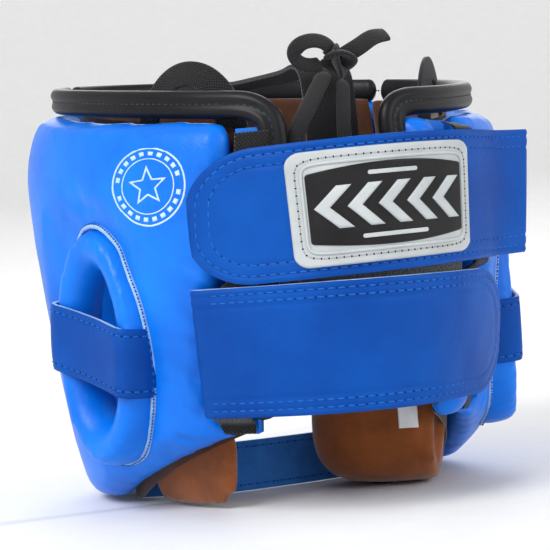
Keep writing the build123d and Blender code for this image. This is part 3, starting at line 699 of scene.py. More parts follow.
def side_cover(name):
    """Half-round rolled edges: depth = middle -+ half thickness * quarter circle."""
    angle, z, to_edge, to_hole = panel_grid(name, HOLE, 0.0, 11.0)
    roll = np.minimum(round_edge(to_edge, 11.5), round_edge(to_hole, 8.0))
    swell = 2.2 * smooth(to_edge / 40.0) * smooth(to_hole / 40.0)
    front = place_panel(name, angle, 11.0 - 10.2 * roll - swell, z)
    back = place_panel(name, angle, 11.0 + 10.3 * roll, z)
    u = np.arange(len(angle)) * 1.6
    v = np.linspace(0, 110, angle.shape[1])
    piece = slab(name + "_side_cover", front, back, u, v, [BLUE], around=True)
    return inflate(piece, cap=2.5)


def skin_line(name, places, depth=0.0, count=40):
    """A line on the skin through (angle, z) places."""
    p = through(places, count)
    return place_panel(name, p[:, 0], depth, p[:, 1])


def side_creases(name):
    """Folds that fan out between the ear ring and the rear edge, and at the top."""
    wanted = [
        ([(121, 128), (127, 118), (134, 112)], 1.5, 2.6), ([(122, 112), (130, 104), (137, 101)], 1.2, 2.2),
        ([(123, 98), (129, 90), (136, 84)], 1.6, 2.6), ([(122, 84), (130, 78), (140, 76)], 1.3, 2.4),
        ([(121, 72), (128, 62), (137, 57)], 1.5, 2.6), ([(119, 56), (126, 48), (134, 44)], 1.2, 2.2),
        ([(116, 44), (121, 36), (128, 32)], 1.3, 2.2), ([(109, 24), (116, 22), (122, 27)], 1.2, 2.2),
        ([(95, 150), (104, 146), (112, 149)], 0.9, 2.6), ([(80, 138), (88, 147), (97, 150)], 1.0, 2.6),
        ([(76, 118), (72, 128), (70, 142)], 0.9, 2.6), ([(134, 190), (135, 180), (138, 172)], 0.8, 1.8),
        ([(140, 190), (141, 178), (143, 168)], 0.9, 1.8), ([(128, 192), (129, 184), (130, 176)], 0.7, 1.8),
        ([(112, 195), (113, 188), (113, 182)], 0.5, 2.0), ([(98, 197), (98, 190), (99, 184)], 0.5, 2.0),
        ([(84, 199), (84, 192), (85, 186)], 0.5, 2.0), ([(70, 200), (71, 192), (72, 186)], 0.5, 2.0),
        ([(139, 130), (143, 118), (145, 104)], 0.9, 2.0), ([(141, 92), (144, 80), (145, 66)], 0.9, 2.0),
    ]
    return [(skin_line(name, places), depth, width) for places, depth, width in wanted]


covers = {}
for name in SIDES:
    cover = covers[name] = side_cover(name)
    creases(cover, side_creases(name))
    settle(cover, "shell", [name + "_side_cover", name + "_side_foam"])


def side_lining(name):
    """The suede inside of a panel, drawn in by sewn channels into soft pads."""
    angle, z, to_edge, to_hole = panel_grid(name, (17.0, 37.0), 2.0, 5.0)
    channel = np.abs(np.sin(pi * (z - 20) / 62.0)) ** 0.5
    roll = np.minimum(round_edge(to_edge, 6.0), round_edge(to_hole, 6.0))
    front = place_panel(name, angle, 22.2 + 0.3 * roll, z)
    back = place_panel(name, angle, 22.6 + (1.2 + 2.4 * channel) * roll, z)
    u = np.arange(len(angle)) * 1.6
    v = np.linspace(0, 110, angle.shape[1])
    # The lining takes the darker suede copy, which paints the shade inside the shell.
    return slab(name + "_side_lining", back, front, u, v, [SHADED_LINING_SUEDE], around=True)


for name in SIDES:
    settle(side_lining(name), "shell", [name + "_side_lining"])


# ---------------------------------------------------------------- forehead
def forehead_grid(step=3.0, inset=0.0, radius=11.0):
    """Rows along the brow by angle and columns by height, with distance to the edges."""
    v = spaced(66.0, radius, step)
    u = spaced(176.0, radius, step)
    seam = SEAM_Y - GAP / 2 - inset
    share_v, share_u = v / v[-1], u / u[-1] * 2 - 1
    angle, z = np.meshgrid(share_u * 48.0, share_v * 60.0 + BROW, indexing="ij")
    for _ in range(6):
        y = skin(angle, 0.0, z)[..., 1]
        top = rim_height(y) - BINDING_HEIGHT - inset
        z = BROW + inset + (top - BROW - inset) * share_v[None]
        angle = share_u[:, None] * angle_of_y(seam, z)
    to_edge = np.minimum.reduce(np.broadcast_arrays(
        u[:, None], u[-1] - u[:, None], v[None], v[-1] - v[None]))
    return angle, z, to_edge, u, v


def forehead_pieces():
    angle, z, to_edge, u, v = forehead_grid()
    ends = round_edge(np.minimum(u, u[-1] - u), 11.0)[:, None]
    edges = round_edge(np.minimum(v, v[-1] - v), 11.0)[None]
    roll = ends * edges
    swell = 2.0 * smooth(to_edge / 30.0)
    front = skin(angle, 11.0 - 10.2 * roll - swell, z)
    back = skin(angle, 11.0 + 10.3 * roll, z)
    cover = inflate(slab("forehead_cover", front, back, u, v, [BLUE]), cap=2.5)
    lines = []
    for a in (-38, -22, -7, 9, 24, 37):
        lines.append((skin(*through([(a, 0, 203), (a + 1, 0, 196), (a + 2, 0, 190)], 30).T), 0.5, 2.0))
        lines.append((skin(*through([(a + 5, 0, 141), (a + 6, 0, 147), (a + 5, 0, 153)], 30).T), 0.5, 2.0))
    creases(cover, lines)
    settle(cover, "shell", ["forehead_cover", "forehead_foam"])
    angle, z, to_edge, u, v = forehead_grid(inset=1.0, radius=5.0)
    roll = (round_edge(np.minimum(u, u[-1] - u), 6.0)[:, None]
            * round_edge(np.minimum(v, v[-1] - v), 6.0)[None])
    channel = np.abs(np.cos(pi * angle / 32.0)) ** 0.5
    inner = skin(angle, 22.6 + (1.2 + 2.4 * channel) * roll, z)
    outer = skin(angle, 22.2 + 0.3 * roll, z)
    # The lining takes the darker suede copy, which paints the shade inside the shell.
    lining = slab("forehead_lining", inner, outer, u, v, [SHADED_LINING_SUEDE])
    settle(lining, "shell", ["forehead_lining"])


forehead_pieces()


# ---------------------------------------------------------------- rear pad, grooves, linings
def rear_strip(name, start, end, z_low, z_high, radius, step=2.5):
    """Rows by height and columns across a strip that runs beside the closure."""
    z = spaced(z_high - z_low, radius, step) + z_low
    across = spaced(end - start, min(radius, (end - start) / 2 - 0.5), 2.0)
    zz, ww = np.meshgrid(z, across + start, indexing="ij")
    angle = angle_where(closure_x(name, zz, ww), zz, 90, 180)
    return angle, zz, z, across


def rear_pad(name):
    start = closure_offsets(name)[0]
    top = rim_height(112.0) - BINDING_HEIGHT
    angle, zz, z, across = rear_strip(name, start, start + CLOSURE[name]["pad"], NAPE, top, 9.0)
    wide = across[-1]
    roll = (round_edge(np.minimum(z - z[0], z[-1] - z), 10.0)[:, None]
            * round_edge(np.minimum(across, wide - across), 10.0)[None])
    front = place_panel(name, angle, 11.0 - 11.4 * roll, zz)
    back = place_panel(name, angle, 11.0 + 10.3 * roll, zz)
    piece = inflate(slab(name + "_rear_pad", front, back, z, across, [BLUE]), voxel=3.5, cap=1.2)
    folds = []
    for k in range(16):
        at = 44.0 + k * 9.6
        x = closure_x(name, at, start + 3.0)
        x_far = closure_x(name, at, start + 17.0)
        a, b = (float(angle_where(q, at, 90, 180)) for q in (x, x_far))
        folds.append((skin_line(name, [(a, at), ((a + b) / 2, at + 3), (b, at + 7)], -0.3), 0.6, 1.3))
    creases(piece, folds)
    return settle(piece, "shell", [name + "_rear_pad"])


rear_pad("right")

for name in SIDES:
    bar_start = closure_offsets(name)[1]
    top = rim_height(112.0) - BINDING_HEIGHT - 1.0
    angle, zz, z, across = rear_strip(name, bar_start, bar_start + BAR_WIDTH, NAPE + 1, top, 3.0)
    dip = np.sin(pi * across / across[-1])[None]
    groove = slab(name + "_strap_channel", place_panel(name, angle, 10.2 + 1.6 * dip, zz),
                  place_panel(name, angle, 21.5 + 0 * zz, zz), z, across, [BLUE])
    settle(groove, "shell", [name + "_strap_channel"])


# ---------------------------------------------------------------- binding
def binding_section():
    """Two rolls side by side with the stitch line between them, flat behind."""
    turn = np.linspace(0, 2 * pi, 33)[:-1]
    across = 4.2 * np.sign(np.cos(turn)) * np.abs(np.cos(turn)) ** 0.8
    up = 6.3 * np.sign(np.sin(turn)) * np.abs(np.sin(turn)) ** 0.9
    waist = 1 - 0.30 * np.exp(-(up / 1.7) ** 2)
    across = np.where(across > 0, across * waist, across * 0.8)
    return np.stack([across, up], -1)


def binding_frame(points):
    """Directions of a line on the skin: out of the skin, and across it within the skin."""
    tangent = unit(np.gradient(points, axis=0))
    centre = points * (0, 0, 1)
    out = points - centre
    out = unit(out - tangent * (out * tangent).sum(-1, keepdims=True))
    return tangent, out, unit(np.cross(out, tangent))


def rim_line(angles, drop, depth=11.0):
    """The line a set distance below the rim, by angle."""
    z = np.full(len(angles), 205.0)
    for _ in range(5):
        z = rim_height(skin(angles, depth, z)[:, 1]) - drop
    return skin(angles, depth, z)


def bound_edge(name, line, nodes):
    """The binding along a line with its thread in the waist between both rolls."""
    out, edge = binding_frame(line)[1:]
    if edge[0, 2] < 0:
        edge = -edge
    piece = loop_along(name, line, out, edge, binding_section(), [BLACK])
    settle(piece, "shell", nodes)
    with_thread(name + "_thread", line + out * 2.9, out, "shell", BLACK_THREAD, length=2.2, gap=1.2,
                radius=0.32)


for name, side in SIDES.items():
    seam = float(angle_of_y(SEAM_Y + GAP, 205.0)) + 0.5
    middle = CLOSURE[name]["binding"] / 2 + 0.5
    corner_z = rim_height(112.0) - 6.0
    corner = float(angle_where(closure_x(name, corner_z, middle), corner_z, 90, 180))
    along_rim = rim_line(side * np.linspace(seam, corner - 7.0, 90), 6.2)
    z_down = np.linspace(corner_z - 15.0, NAPE + 7.0, 70)
    down_angle = angle_where(closure_x(name, z_down, middle), z_down, 90, 180)
    down = place_panel(name, down_angle, 11.0, z_down)
    turn_point = place_panel(name, corner - 1.2, 11.0, corner_z - 3.0)
    line = evenly(np.vstack([along_rim, turn_point[None], down]), 260)
    for _ in range(24):
        line[1:-1] = 0.5 * line[1:-1] + 0.25 * (line[2:] + line[:-2])
    bound_edge(name + "_binding", line, [name + "_binding"])
seam = float(angle_of_y(SEAM_Y - GAP, 207.0)) - 0.5
bound_edge("forehead_binding", rim_line(np.linspace(-seam, seam, 120), 6.2), ["forehead_binding"])


# ---------------------------------------------------------------- ear rings and bands
def ear_basis(side):
    """Origin on the skin, the directions to the rear and up, and straight out."""
    origin = skin(side * EAR_ANGLE, 0.0, EAR_HEIGHT)
    step = skin(EAR_ANGLE + 0.5, 0.0, EAR_HEIGHT) - skin(EAR_ANGLE - 0.5, 0.0, EAR_HEIGHT)
    out = unit(np.array([step[1], -step[0], 0.0]))
    outward_way = np.array([side * out[0], out[1], 0.0])
    rearward = np.array([-side * out[1], out[0], 0.0])
    return origin, rearward, np.array([0.0, 0.0, 1.0]), outward_way


def ear_place(side, x, y, height):
    origin, rearward, up, out = ear_basis(side)
    return (origin + np.asarray(x)[..., None] * rearward + np.asarray(y)[..., None] * up
            + np.asarray(height)[..., None] * out)


def ear_on_skin(side, x, y, depth=0.0):
    """The skin's point that lies over (x, y) of the ear plane, by halving the angle."""
    origin, rearward = ear_basis(side)[:2]
    z = EAR_HEIGHT + np.asarray(y, float)
    lo, hi = np.full(z.shape, 45.0), np.full(z.shape, 165.0)
    for _ in range(36):
        mid = (lo + hi) / 2
        along = (skin(side * mid, depth, z) - origin) @ rearward
        lo = np.where(along < x, mid, lo)
        hi = np.where(along < x, hi, mid)
    return skin(side * (lo + hi) / 2, depth, z)


RING_SECTION = [(0.06, -13.0), (0.0, -7.0), (0.0, -2.0), (0.05, 2.6), (0.15, 6.0), (0.30, 8.8),
                (0.48, 10.6), (0.66, 11.2), (0.80, 10.3), (0.91, 7.8), (0.97, 4.0), (1.0, -0.5),
                (1.0, -5.5), (0.98, -10.5)]


def ear_ring(name, side):
    """A section (share of the way out, height) carried round the ear's ellipse."""
    section = through(RING_SECTION, 44)
    turn = np.linspace(0, 2 * pi, 161)[:-1]
    q, h = section[None, :, 0], section[None, :, 1]
    x = (HOLE[0] + (RING[0] - HOLE[0]) * q) * np.cos(turn)[:, None]
    y = (HOLE[1] + (RING[1] - HOLE[1]) * q) * np.sin(turn)[:, None]
    front = ear_place(side, x, y, h + 0 * x)
    x_in = (HOLE[0] + (RING[0] - HOLE[0]) * (0.1 + 0.8 * q)) * np.cos(turn)[:, None]
    y_in = (HOLE[1] + (RING[1] - HOLE[1]) * (0.1 + 0.8 * q)) * np.sin(turn)[:, None]
    back = ear_place(side, x_in, y_in, -13.5 + 0 * x)
    piece = slab(name + "_ear_ring", front, back, turn * 45, section[:, 0] * 40, [BLUE], around=True)
    inflate(piece, voxel=3.0, cap=1.0)
    folds = []
    for k, at in enumerate(np.linspace(0.2, 6.1, 15)):
        reach = np.linspace(0.72, 1.0, 16)
        lean = at + 0.05 * np.sin(3.1 * k) + 0.10 * (reach - 0.72)
        height = np.interp(reach, [p[0] for p in RING_SECTION[5:12]], [p[1] for p in RING_SECTION[5:12]])
        px = (HOLE[0] + (RING[0] - HOLE[0]) * reach) * np.cos(lean)
        py = (HOLE[1] + (RING[1] - HOLE[1]) * reach) * np.sin(lean)
        folds.append((ear_place(side, px, py, height), 0.28 + 0.14 * np.sin(5.0 * k), 1.7))
    creases(piece, folds)
    return settle(piece, "shell", [name + "_ear_ring"])


BAND_HALF = 15.5
BAND_LEAN = radians(14.0)
BAND_PROFILE = [(-1.0, 10.8), (-0.5, 11.0), (0.0, 11.6), (0.35, 12.4), (0.62, 12.9), (0.80, 12.1),
                (0.93, 9.0), (1.02, 3.8), (1.06, -1.5), (1.07, -6.5), (1.065, -11.0)]


def band_reach(v, ellipse, way):
    """Where a line beside the band's middle crosses an ellipse round the ear."""
    c, s = cos(BAND_LEAN), sin(BAND_LEAN)
    a2, b2 = ellipse[0] ** 2, ellipse[1] ** 2
    a = c * c / a2 + s * s / b2
    b = 2 * v * c * s * (1 / a2 - 1 / b2)
    k = v * v * (s * s / a2 + c * c / b2) - 1
    return (-b + way * np.sqrt(b * b - 4 * a * k)) / (2 * a)


def band_grid(v, lift=0.0):
    """Rows along the band from its front end to its rear end, columns across it."""
    profile = through(BAND_PROFILE, 40)
    halves = []
    for way in (-1, 1):
        s_in = band_reach(v, HOLE, way)[None]
        s_out = band_reach(v, RING, way)[None]
        q = profile[:, 0, None]
        s = np.where(q < 0, s_in * (1 + q), s_in + q * (s_out - s_in))
        s = s * (1 + lift * 0.02 * (q > 0.8))
        halves.append((s, profile[:, 1, None] + 0 * s))
    s = np.concatenate([halves[0][0][::-1], halves[1][0][1:]])
    height = np.concatenate([halves[0][1][::-1], halves[1][1][1:]])
    x = s * cos(BAND_LEAN) + v[None] * sin(BAND_LEAN)
    y = -s * sin(BAND_LEAN) + v[None] * cos(BAND_LEAN)
    return x, y, height + lift


def ear_band(name, side):
    """A leather band laid over the ring, dipping a little over the ear opening."""
    v = np.linspace(-BAND_HALF, BAND_HALF, 43)
    x, y, height = band_grid(v)
    edge = BAND_HALF - np.abs(v)[None]
    swell = 0.35 * (1 - np.exp(-((edge - 3.2) / 0.9) ** 2)) * smooth(edge / 1.6)
    centre = ear_place(side, x, y, height)
    normal = grid_normals(centre)
    out = ear_basis(side)[3]
    middle_row = normal[len(normal) // 2, len(v) // 2]
    if middle_row @ out < 0:
        normal = -normal
    front = centre + normal * (0.9 + swell)[..., None]
    back = centre - normal * 0.9
    length = np.arange(len(x)) * 1.8
    band = slab(name + "_ear_band", front, back, length, v + BAND_HALF,
                [STRAP_BLUE, STRAP_BACK, RAW_EDGE])
    settle(band, "shell", [name + "_ear_band"])
    rows = slice(4, -4)
    for k, across in enumerate((-12.3, 12.3)):
        line = np.stack([np.interp(across, v, front[i, :, j]) for i in range(len(front))[rows]
                         for j in range(3)]).reshape(-1, 3)
        way = normal[rows, len(v) // 2]
        with_thread(f"{name}_ear_band_thread_{k}", line, way, "shell")


def laid_on(points, target, offset=0.0):
    """The points moved to the nearest place on a piece, and lifted off it."""
    mesh = bpy.data.meshes.new("laying")
    mesh.vertices.add(len(points))
    mesh.vertices.foreach_set("co", ((points + SHIFT) * METRE).astype(np.float32).ravel())
    laying = bpy.data.objects.new("laying", mesh)
    bpy.context.scene.collection.objects.link(laying)
    under = bpy.data.objects.new("under", target.data)
    bpy.context.scene.collection.objects.link(under)
    wrap = laying.modifiers.new("wrap", "SHRINKWRAP")
    wrap.target = under
    wrap.wrap_mode = "ABOVE_SURFACE"
    wrap.offset = offset * METRE
    bpy.context.view_layer.update()
    found = read_points(laying.evaluated_get(bpy.context.evaluated_depsgraph_get()))
    bpy.data.objects.remove(laying)
    bpy.data.objects.remove(under)
    bpy.data.meshes.remove(mesh)
    return found


def ring_seam(name, side):
    """The ring's raw seam allowance standing on the panel, with its thread."""
    turn = np.linspace(0, 2 * pi, 241)[:-1]
    base = ear_on_skin(side, (RING[0] + 0.8) * np.cos(turn), (RING[1] + 0.8) * np.sin(turn), -1.0)
    base = laid_on(base, covers[name], 0.2)
    out = np.broadcast_to(ear_basis(side)[3], base.shape)
    ahead = unit(np.roll(base, -1, 0) - np.roll(base, 1, 0))
    across = unit(np.cross(out, ahead))
    away = base - base.mean(0)
    across = np.where((across * away).sum(-1, keepdims=True) < 0, -across, across)
    section = [(-1.2, 1.0), (-0.5, 1.5), (0.6, 1.2), (1.1, 0.5), (1.2, -0.4), (0.4, -0.8), (-0.9, -0.8)]
    lip = loop_along(name + "_ring_seam", base, across, out, section, [RAW_EDGE], closed=True)
    settle(lip, "shell", [])
    line = base + across * 0.9 + out * 0.9
    way = across + out
    with_thread(name + "_ring_seam_thread", np.vstack([line, line[:1]]), np.vstack([way, way[:1]]),
                "shell", length=2.0, gap=1.5, radius=0.4)


for name, side in SIDES.items():
    ear_ring(name, side)
    ear_band(name, side)
    ring_seam(name, side)


# ---------------------------------------------------------------- rear straps
STEP = STRAP + 2 * 1.3 + 3 * GAP + 0.3
SEWN = 12.0
CLEAR = 1.2 + STRAP / 2
STRAPS = {
    "upper": {"root": 148.0, "turn": 1, "height": 58.0, "mid": 136.5, "slope": radians(2.3),
              "bar": "right", "tip": 76.0, "reach": 25.0, "lift": 7.5, "radius": 5.0, "tip_radius": 24.0},
    "lower": {"root": 216.0, "turn": -1, "height": 57.0, "mid": 76.3, "slope": radians(0.3),
              "bar": "left", "tip": -78.0, "reach": 1.5, "lift": 0.0, "radius": STEP / 2,
              "tip_radius": 24.0},
}


def strap_place(strap, run, rise, z):
    """A place along a strap: run round the skin, rise off it, at a height."""
    low, high = strap["mid"] - strap["height"] / 2, strap["mid"] + strap["height"] / 2
    share = (z - low) / (high - low)
    scale = girth(np.array(low)) * (1 - share) + girth(np.array(high)) * share
    angle = strap["root"] + strap["turn"] * np.degrees(run / RUN_RADIUS)
    return skin_scaled(angle, -rise, z, scale)


def run_of_x(strap, x):
    angle = float(angle_where(abs(x), strap["mid"], 90, 180))
    angle = angle if x > 0 else 360 - angle
    return strap["turn"] * radians(angle - strap["root"]) * RUN_RADIUS


for strap in STRAPS.values():
    start = closure_offsets(strap["bar"])[1]
    far_side = SIDES[strap["bar"]]
    strap["bar_start"] = run_of_x(strap, far_side * closure_x(strap["bar"], strap["mid"], start))
    strap["bar_end"] = run_of_x(strap, far_side * closure_x(strap["bar"], strap["mid"],
                                                           start + BAR_WIDTH))
    strap["fold"] = strap["bar_end"] + strap["reach"]


def inner_rise(strap, run):
    """Sewn at the root, just clear of the skin, then drawn away towards the fold."""
    past = np.clip(run - (strap["fold"] - strap["reach"]), 0, None) / strap["reach"]
    sewn = STRAP / 2 + 0.4
    ease = np.clip(run / SEWN, 0, 1)
    return sewn + (CLEAR - sewn) * ease + strap["lift"] * past ** 2


def outer_rise(strap, run):
    past = np.clip(run - (strap["fold"] - strap["reach"]), 0, None) / strap["reach"]
    return (inner_rise(strap, np.maximum(run, SEWN)) + STEP
            + (2 * strap["radius"] - STEP) * past ** 2)


def strap_heights(strap, x, v):
    """Height at a share v (-1 to 1) of the strap's width, over the place x."""
    half = strap["height"] / 2 / cos(strap["slope"])
    if strap["tip"] is not None:
        q = np.clip(abs(strap["tip"]) - np.sign(strap["tip"]) * x, 0, None)
        r = strap["tip_radius"]
        inset = np.where(q < r, r - np.sqrt(np.clip(r * r - (r - q) ** 2, 0, None)), 0)
        half = half - inset
    return strap["mid"] - x * tan(strap["slope"]) + v * half


def edge_distance(strap, x, z):
    """Distance from a flap's rounded outline."""
    half = strap["height"] / 2
    y = np.abs(z - (strap["mid"] - x * tan(strap["slope"]))) * cos(strap["slope"])
    q = np.abs(strap["tip"]) - np.sign(strap["tip"]) * x
    r = strap["tip_radius"]
    corner = r - np.hypot(np.clip(r - q, 0, None), np.clip(y - (half - r), 0, None))
    return np.where((q < r) & (y > half - r), corner, np.minimum(q, half - y))


def strap_relief(edge, run, z):
    """Leather drawn down along both stitch rows, and slightly wavy between them."""
    rows = np.exp(-((edge - 3.2) / 0.9) ** 2) + np.exp(-((edge - 8.4) / 0.9) ** 2)
    wave = (np.sin(run / 9.0 + z / 17.0) + np.sin(run / 5.3 - z / 11.0 + 1.0)
            + 0.6 * np.sin(run / 3.1 + z / 6.0 + 2.0))
    return 0.45 - 0.38 * rows - 0.5 * (1 - smooth(edge / 1.5)) + 0.09 * wave


def arc_places(strap, start, end, count):
    """Part of the half circle at the fold, in degrees from the inner run."""
    a = np.radians(np.linspace(start, end, count))
    middle = inner_rise(strap, strap["fold"]) + strap["radius"]
    return strap["fold"] + strap["radius"] * np.sin(a), middle - strap["radius"] * np.cos(a)


def strap_wall(name, strap, run, rise, v, front_extra, thickness, finishes, tipped):
    """A strap's wall on both sides of its middle line, as a closed slab."""
    run_grid, rise_grid = run[:, None] + 0 * v[None], rise[:, None] + 0 * v[None]
    shape = dict(strap)
    if not tipped:
        shape["tip"] = None
    x = strap_place(strap, run, rise, np.array(strap["mid"]) + 0 * run)[:, 0][:, None]
    z = strap_heights(shape, x, v[None])
    for _ in range(3):
        x = strap_place(strap, run_grid, rise_grid, z)[..., 0]
        z = strap_heights(shape, x, v[None])
    centre = strap_place(strap, run_grid, rise_grid, z)
    normal = grid_normals(centre)
    if normal[len(run) // 2, len(v) // 2] @ (centre[len(run) // 2, len(v) // 2] * (1, 1, 0)) < 0:
        normal = -normal
    extra = 0.0
    if front_extra:
        extra = strap_relief(edge_distance(strap, x, z), run_grid, z)[..., None]
    front = centre + normal * (thickness / 2 + extra)
    back = centre - normal * (thickness / 2)
    steps = np.linalg.norm(np.diff(centre[:, len(v) // 2], axis=0), axis=1)
    length = np.concatenate([[0.0], np.cumsum(steps)])
    return slab(name, front, back, length, (v + 1) * strap["height"] / 2, finishes)


def even_columns(count):
    """Shares across a strap from -1 to 1, crowded towards both edges."""
    t = np.linspace(-1, 1, count)
    return t * (1.35 - 0.35 * t * t)


def flap_surface(strap, x, z, lift=0.0):
    """The place on a flap's outer face at x and z, lifted off the leather."""
    table = np.linspace(-60.0, strap["fold"], 400)
    xs = strap_place(strap, table, outer_rise(strap, table), np.full(400, strap["mid"]))[:, 0]
    order = np.argsort(xs)
    run = np.interp(x, xs[order], table[order])
    for _ in range(3):
        found = strap_place(strap, run, outer_rise(strap, run), z)[..., 0]
        slope = np.where(np.abs(x) < 1e9, strap["turn"] * -1.0, 0)
        run = run + (x - found) * slope * 0.9
    relief = strap_relief(edge_distance(strap, x, z), run, z)
    return strap_place(strap, run, outer_rise(strap, run) + STRAP / 2 + relief + lift, z)


def stitch_route(strap, inset, reach):
    """Down one long edge, round the tip and back along the other, this far inside."""
    half, r = strap["height"] / 2, strap["tip_radius"]
    q = np.linspace(reach, r, 90)
    turn = np.linspace(0, pi / 2, 20)[1:]
    top = np.stack([q, np.full(90, half - inset)], -1)
    arc = np.stack([r - (r - inset) * np.sin(turn), half - r + (r - inset) * np.cos(turn)], -1)
    route = np.vstack([top, arc])
    route = np.vstack([route, (route * (1, -1))[::-1]])
    x = np.sign(strap["tip"]) * (abs(strap["tip"]) - route[:, 0])
    return x, strap["mid"] - x * tan(strap["slope"]) + route[:, 1] / cos(strap["slope"])


def blended(piece, strap, nodes=()):
    """Finds the flap's surface at the fold and 26 mm past it, but bends nothing: bakes the piece's
    placement into its mesh and hides the parts it stands for.
    """
    start = flap_surface(strap, np.array(fold_x(strap)), np.array(strap["mid"]))
    end = flap_surface(strap, np.array(fold_x(strap) + np.sign(strap["tip"]) * 26.0),
                       np.array(strap["mid"]))
    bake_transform(piece)
    if nodes:
        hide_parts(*nodes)
    return piece


def fold_x(strap):
    return float(strap_place(strap, np.array(strap["fold"]), outer_rise(strap, strap["fold"]),
                             np.array(strap["mid"]))[0])


def strap_pieces(name, strap):
    v = even_columns(77)
    plain_v = even_columns(41)
    strap_faces = [STRAP_BLUE, STRAP_BACK, RAW_EDGE]
    tip_run = run_of_x(strap, strap["tip"])
    runs = strap["fold"] - spaced(strap["fold"] - tip_run, 12.0, 2.0, 10)
    arc = arc_places(strap, 90.0, 178.0, 14)
    run = np.concatenate([arc[0], runs[1:]])
    rise = np.concatenate([arc[1], outer_rise(strap, runs[1:])])
    low = strap_place(strap, run, rise, np.full(len(run), strap["mid"]))[:, 0]
    keep = np.sign(strap["tip"]) * low < abs(strap["tip"]) - 0.02
    flap = strap_wall(name + "_strap_flap", strap, run[keep], rise[keep], v, True, STRAP,
                      strap_faces, True)
    blended(flap, strap, [name + "_strap_flap"])
    insets = (3.5, 8.0) if name == "upper" else (3.0, 6.4)
    for k, inset in enumerate(insets):
        reach = abs(strap["tip"] - fold_x(strap)) - 2.0
        x, z = stitch_route(strap, inset, reach)
        line = flap_surface(strap, x, z, 0.05)
        out = flap_surface(strap, x, z, 1.0) - line
        row = stitches(f"{name}_flap_thread_{k}", line, out, THREAD)
        blended(row, strap)
    inner_runs = np.linspace(0, strap["fold"], 60)
    arc = arc_places(strap, 0.0, 86.0, 14)
    run = np.concatenate([inner_runs[:-1], arc[0]])
    rise = np.concatenate([inner_rise(strap, inner_runs[:-1]), arc[1]])
    root = strap_wall(name + "_strap_root", strap, run, rise, plain_v, False, STRAP,
                      strap_faces, False)
    settle(root, "shell", [name + "_strap_root"])
    low_run, high_run = SEWN + 2, strap["bar_start"] - 14
    runs = np.linspace(low_run, high_run, 50)
    low_gain, high_gain = (9.0, -5.0) if name == "upper" else (-5.0, 9.0)
    narrow = plain_v * (1 + np.where(plain_v < 0, low_gain, high_gain) / strap["height"])
    away = STRAP / 2 + GAP + 0.65
    loop = strap_wall(name + "_loop_tape", strap, runs, inner_rise(strap, runs) + away, narrow,
                      False, 1.3, [TAPE], False)
    settle(loop, "shell", [name + "_loop_tape"])
    hook = strap_wall(name + "_hook_tape", strap, runs, outer_rise(strap, runs) - away, narrow,
                      False, 1.3, [TAPE], False)
    settle(hook, name + "_strap", [name + "_hook_tape"])


for name, strap in STRAPS.items():
    strap_pieces(name, strap)


# ---------------------------------------------------------------- strap bars
def bar_depth(z, low, high):
    """Webbing depth: seated in the groove, standing out over the strap between two heights."""
    out = -(1.2 + STRAP + 0.7 + 0.9)
    share = smooth((z - (low - 5)) / 6.0) * smooth(((high + 5) - z) / 6.0)
    return 7.1 + (out - 7.1) * share


def strap_bar(name, low, high):
    start = closure_offsets(name)[1]
    top = rim_height(120.0) - BINDING_HEIGHT - 2
    z = np.linspace(NAPE + 1.5, top, 150)
    across = np.linspace(0.4, BAR_WIDTH - 0.4, 15)
    zz, ww = np.meshgrid(z, across + start, indexing="ij")
    angle = angle_where(closure_x(name, zz, ww), zz, 90, 180)
    depth = bar_depth(zz, low, high)
    front = place_panel(name, angle, depth - 0.9, zz)
    back = place_panel(name, angle, depth + 0.9, zz)
    bar = slab(name + "_strap_bar", front, back, z - z[0], across, [WEB])
    settle(bar, "shell", [name + "_strap_bar"])
    for k, column in enumerate((2, 12)):
        line = front[8:-8, column]
        out = unit(line * (1, 1, 0))
        with_thread(f"{name}_bar_thread_{k}", line, out, "shell", DARK_THREAD)
    for k, (z_from, z_to) in enumerate(((high + 9, high + 22), (low - 20, low - 8))):
        rows = np.where((z > z_from) & (z < z_to))[0]
        if len(rows) < 4:
            continue
        for m, row in enumerate((rows[0], rows[0] + 3, rows[-1])):
            line = front[row, 2:13]
            with_thread(f"{name}_bar_box_{k}_{m}", line, unit(line * (1, 1, 0)), "shell", DARK_THREAD,
                        length=2.2, gap=0.8)


strap_bar("right", 107.5, 169.5)
strap_bar("left", 47.3, 103.8)


# ---------------------------------------------------------------- badge on the upper flap
BADGE = (84.0, 49.0)
BADGE_X = -2.0
upper = STRAPS["upper"]


def on_badge(x, y, lift):
    """A place on the badge, turned with the strap, lifted off the strap's leather."""
    c, s = cos(upper["slope"]), sin(upper["slope"])
    px, pz = BADGE_X + x * c + y * s, upper["mid"] - x * s + y * c
    table = np.linspace(-60.0, upper["fold"], 400)
    xs = strap_place(upper, table, outer_rise(upper, table), np.full(400, upper["mid"]))[:, 0]
    run = np.interp(px, xs[::-1], table[::-1])
    return strap_place(upper, run, outer_rise(upper, run) + STRAP / 2 + lift, pz)


def rounded_patch(name, width, height, radius, base, top, finishes, rim=0.8, bulge=0.0, cell=1.2):
    """A moulded patch with rounded corners and a rounded edge, seen as columns of varying height.

    bulge draws the middle of its long edges outwards by that much along a parabola.
    """
    x = spaced(width, radius, cell, 10) - width / 2
    q = width / 2 - np.abs(x)
    corner = radius - np.sqrt(np.clip(radius ** 2 - (radius - q) ** 2, 0, None))
    half = height / 2 - np.where(q < radius, corner, 0)
    half = half + bulge * (1 - (2 * x / width) ** 2)
    v = spaced(2.0, 0.12, cell / 20, 6) - 1
    xx, yy = x[:, None] + 0 * v[None], v[None] * half[:, None]
    edge = np.minimum(q[:, None], half[:, None] - np.abs(yy))
    front = on_badge(xx, yy, base + (top - base) * (0.35 + 0.65 * round_edge(edge, rim)))
    back = on_badge(xx, yy, base + 0 * xx)
    return slab(name, front, back, x + width / 2, v * height / 2, finishes)


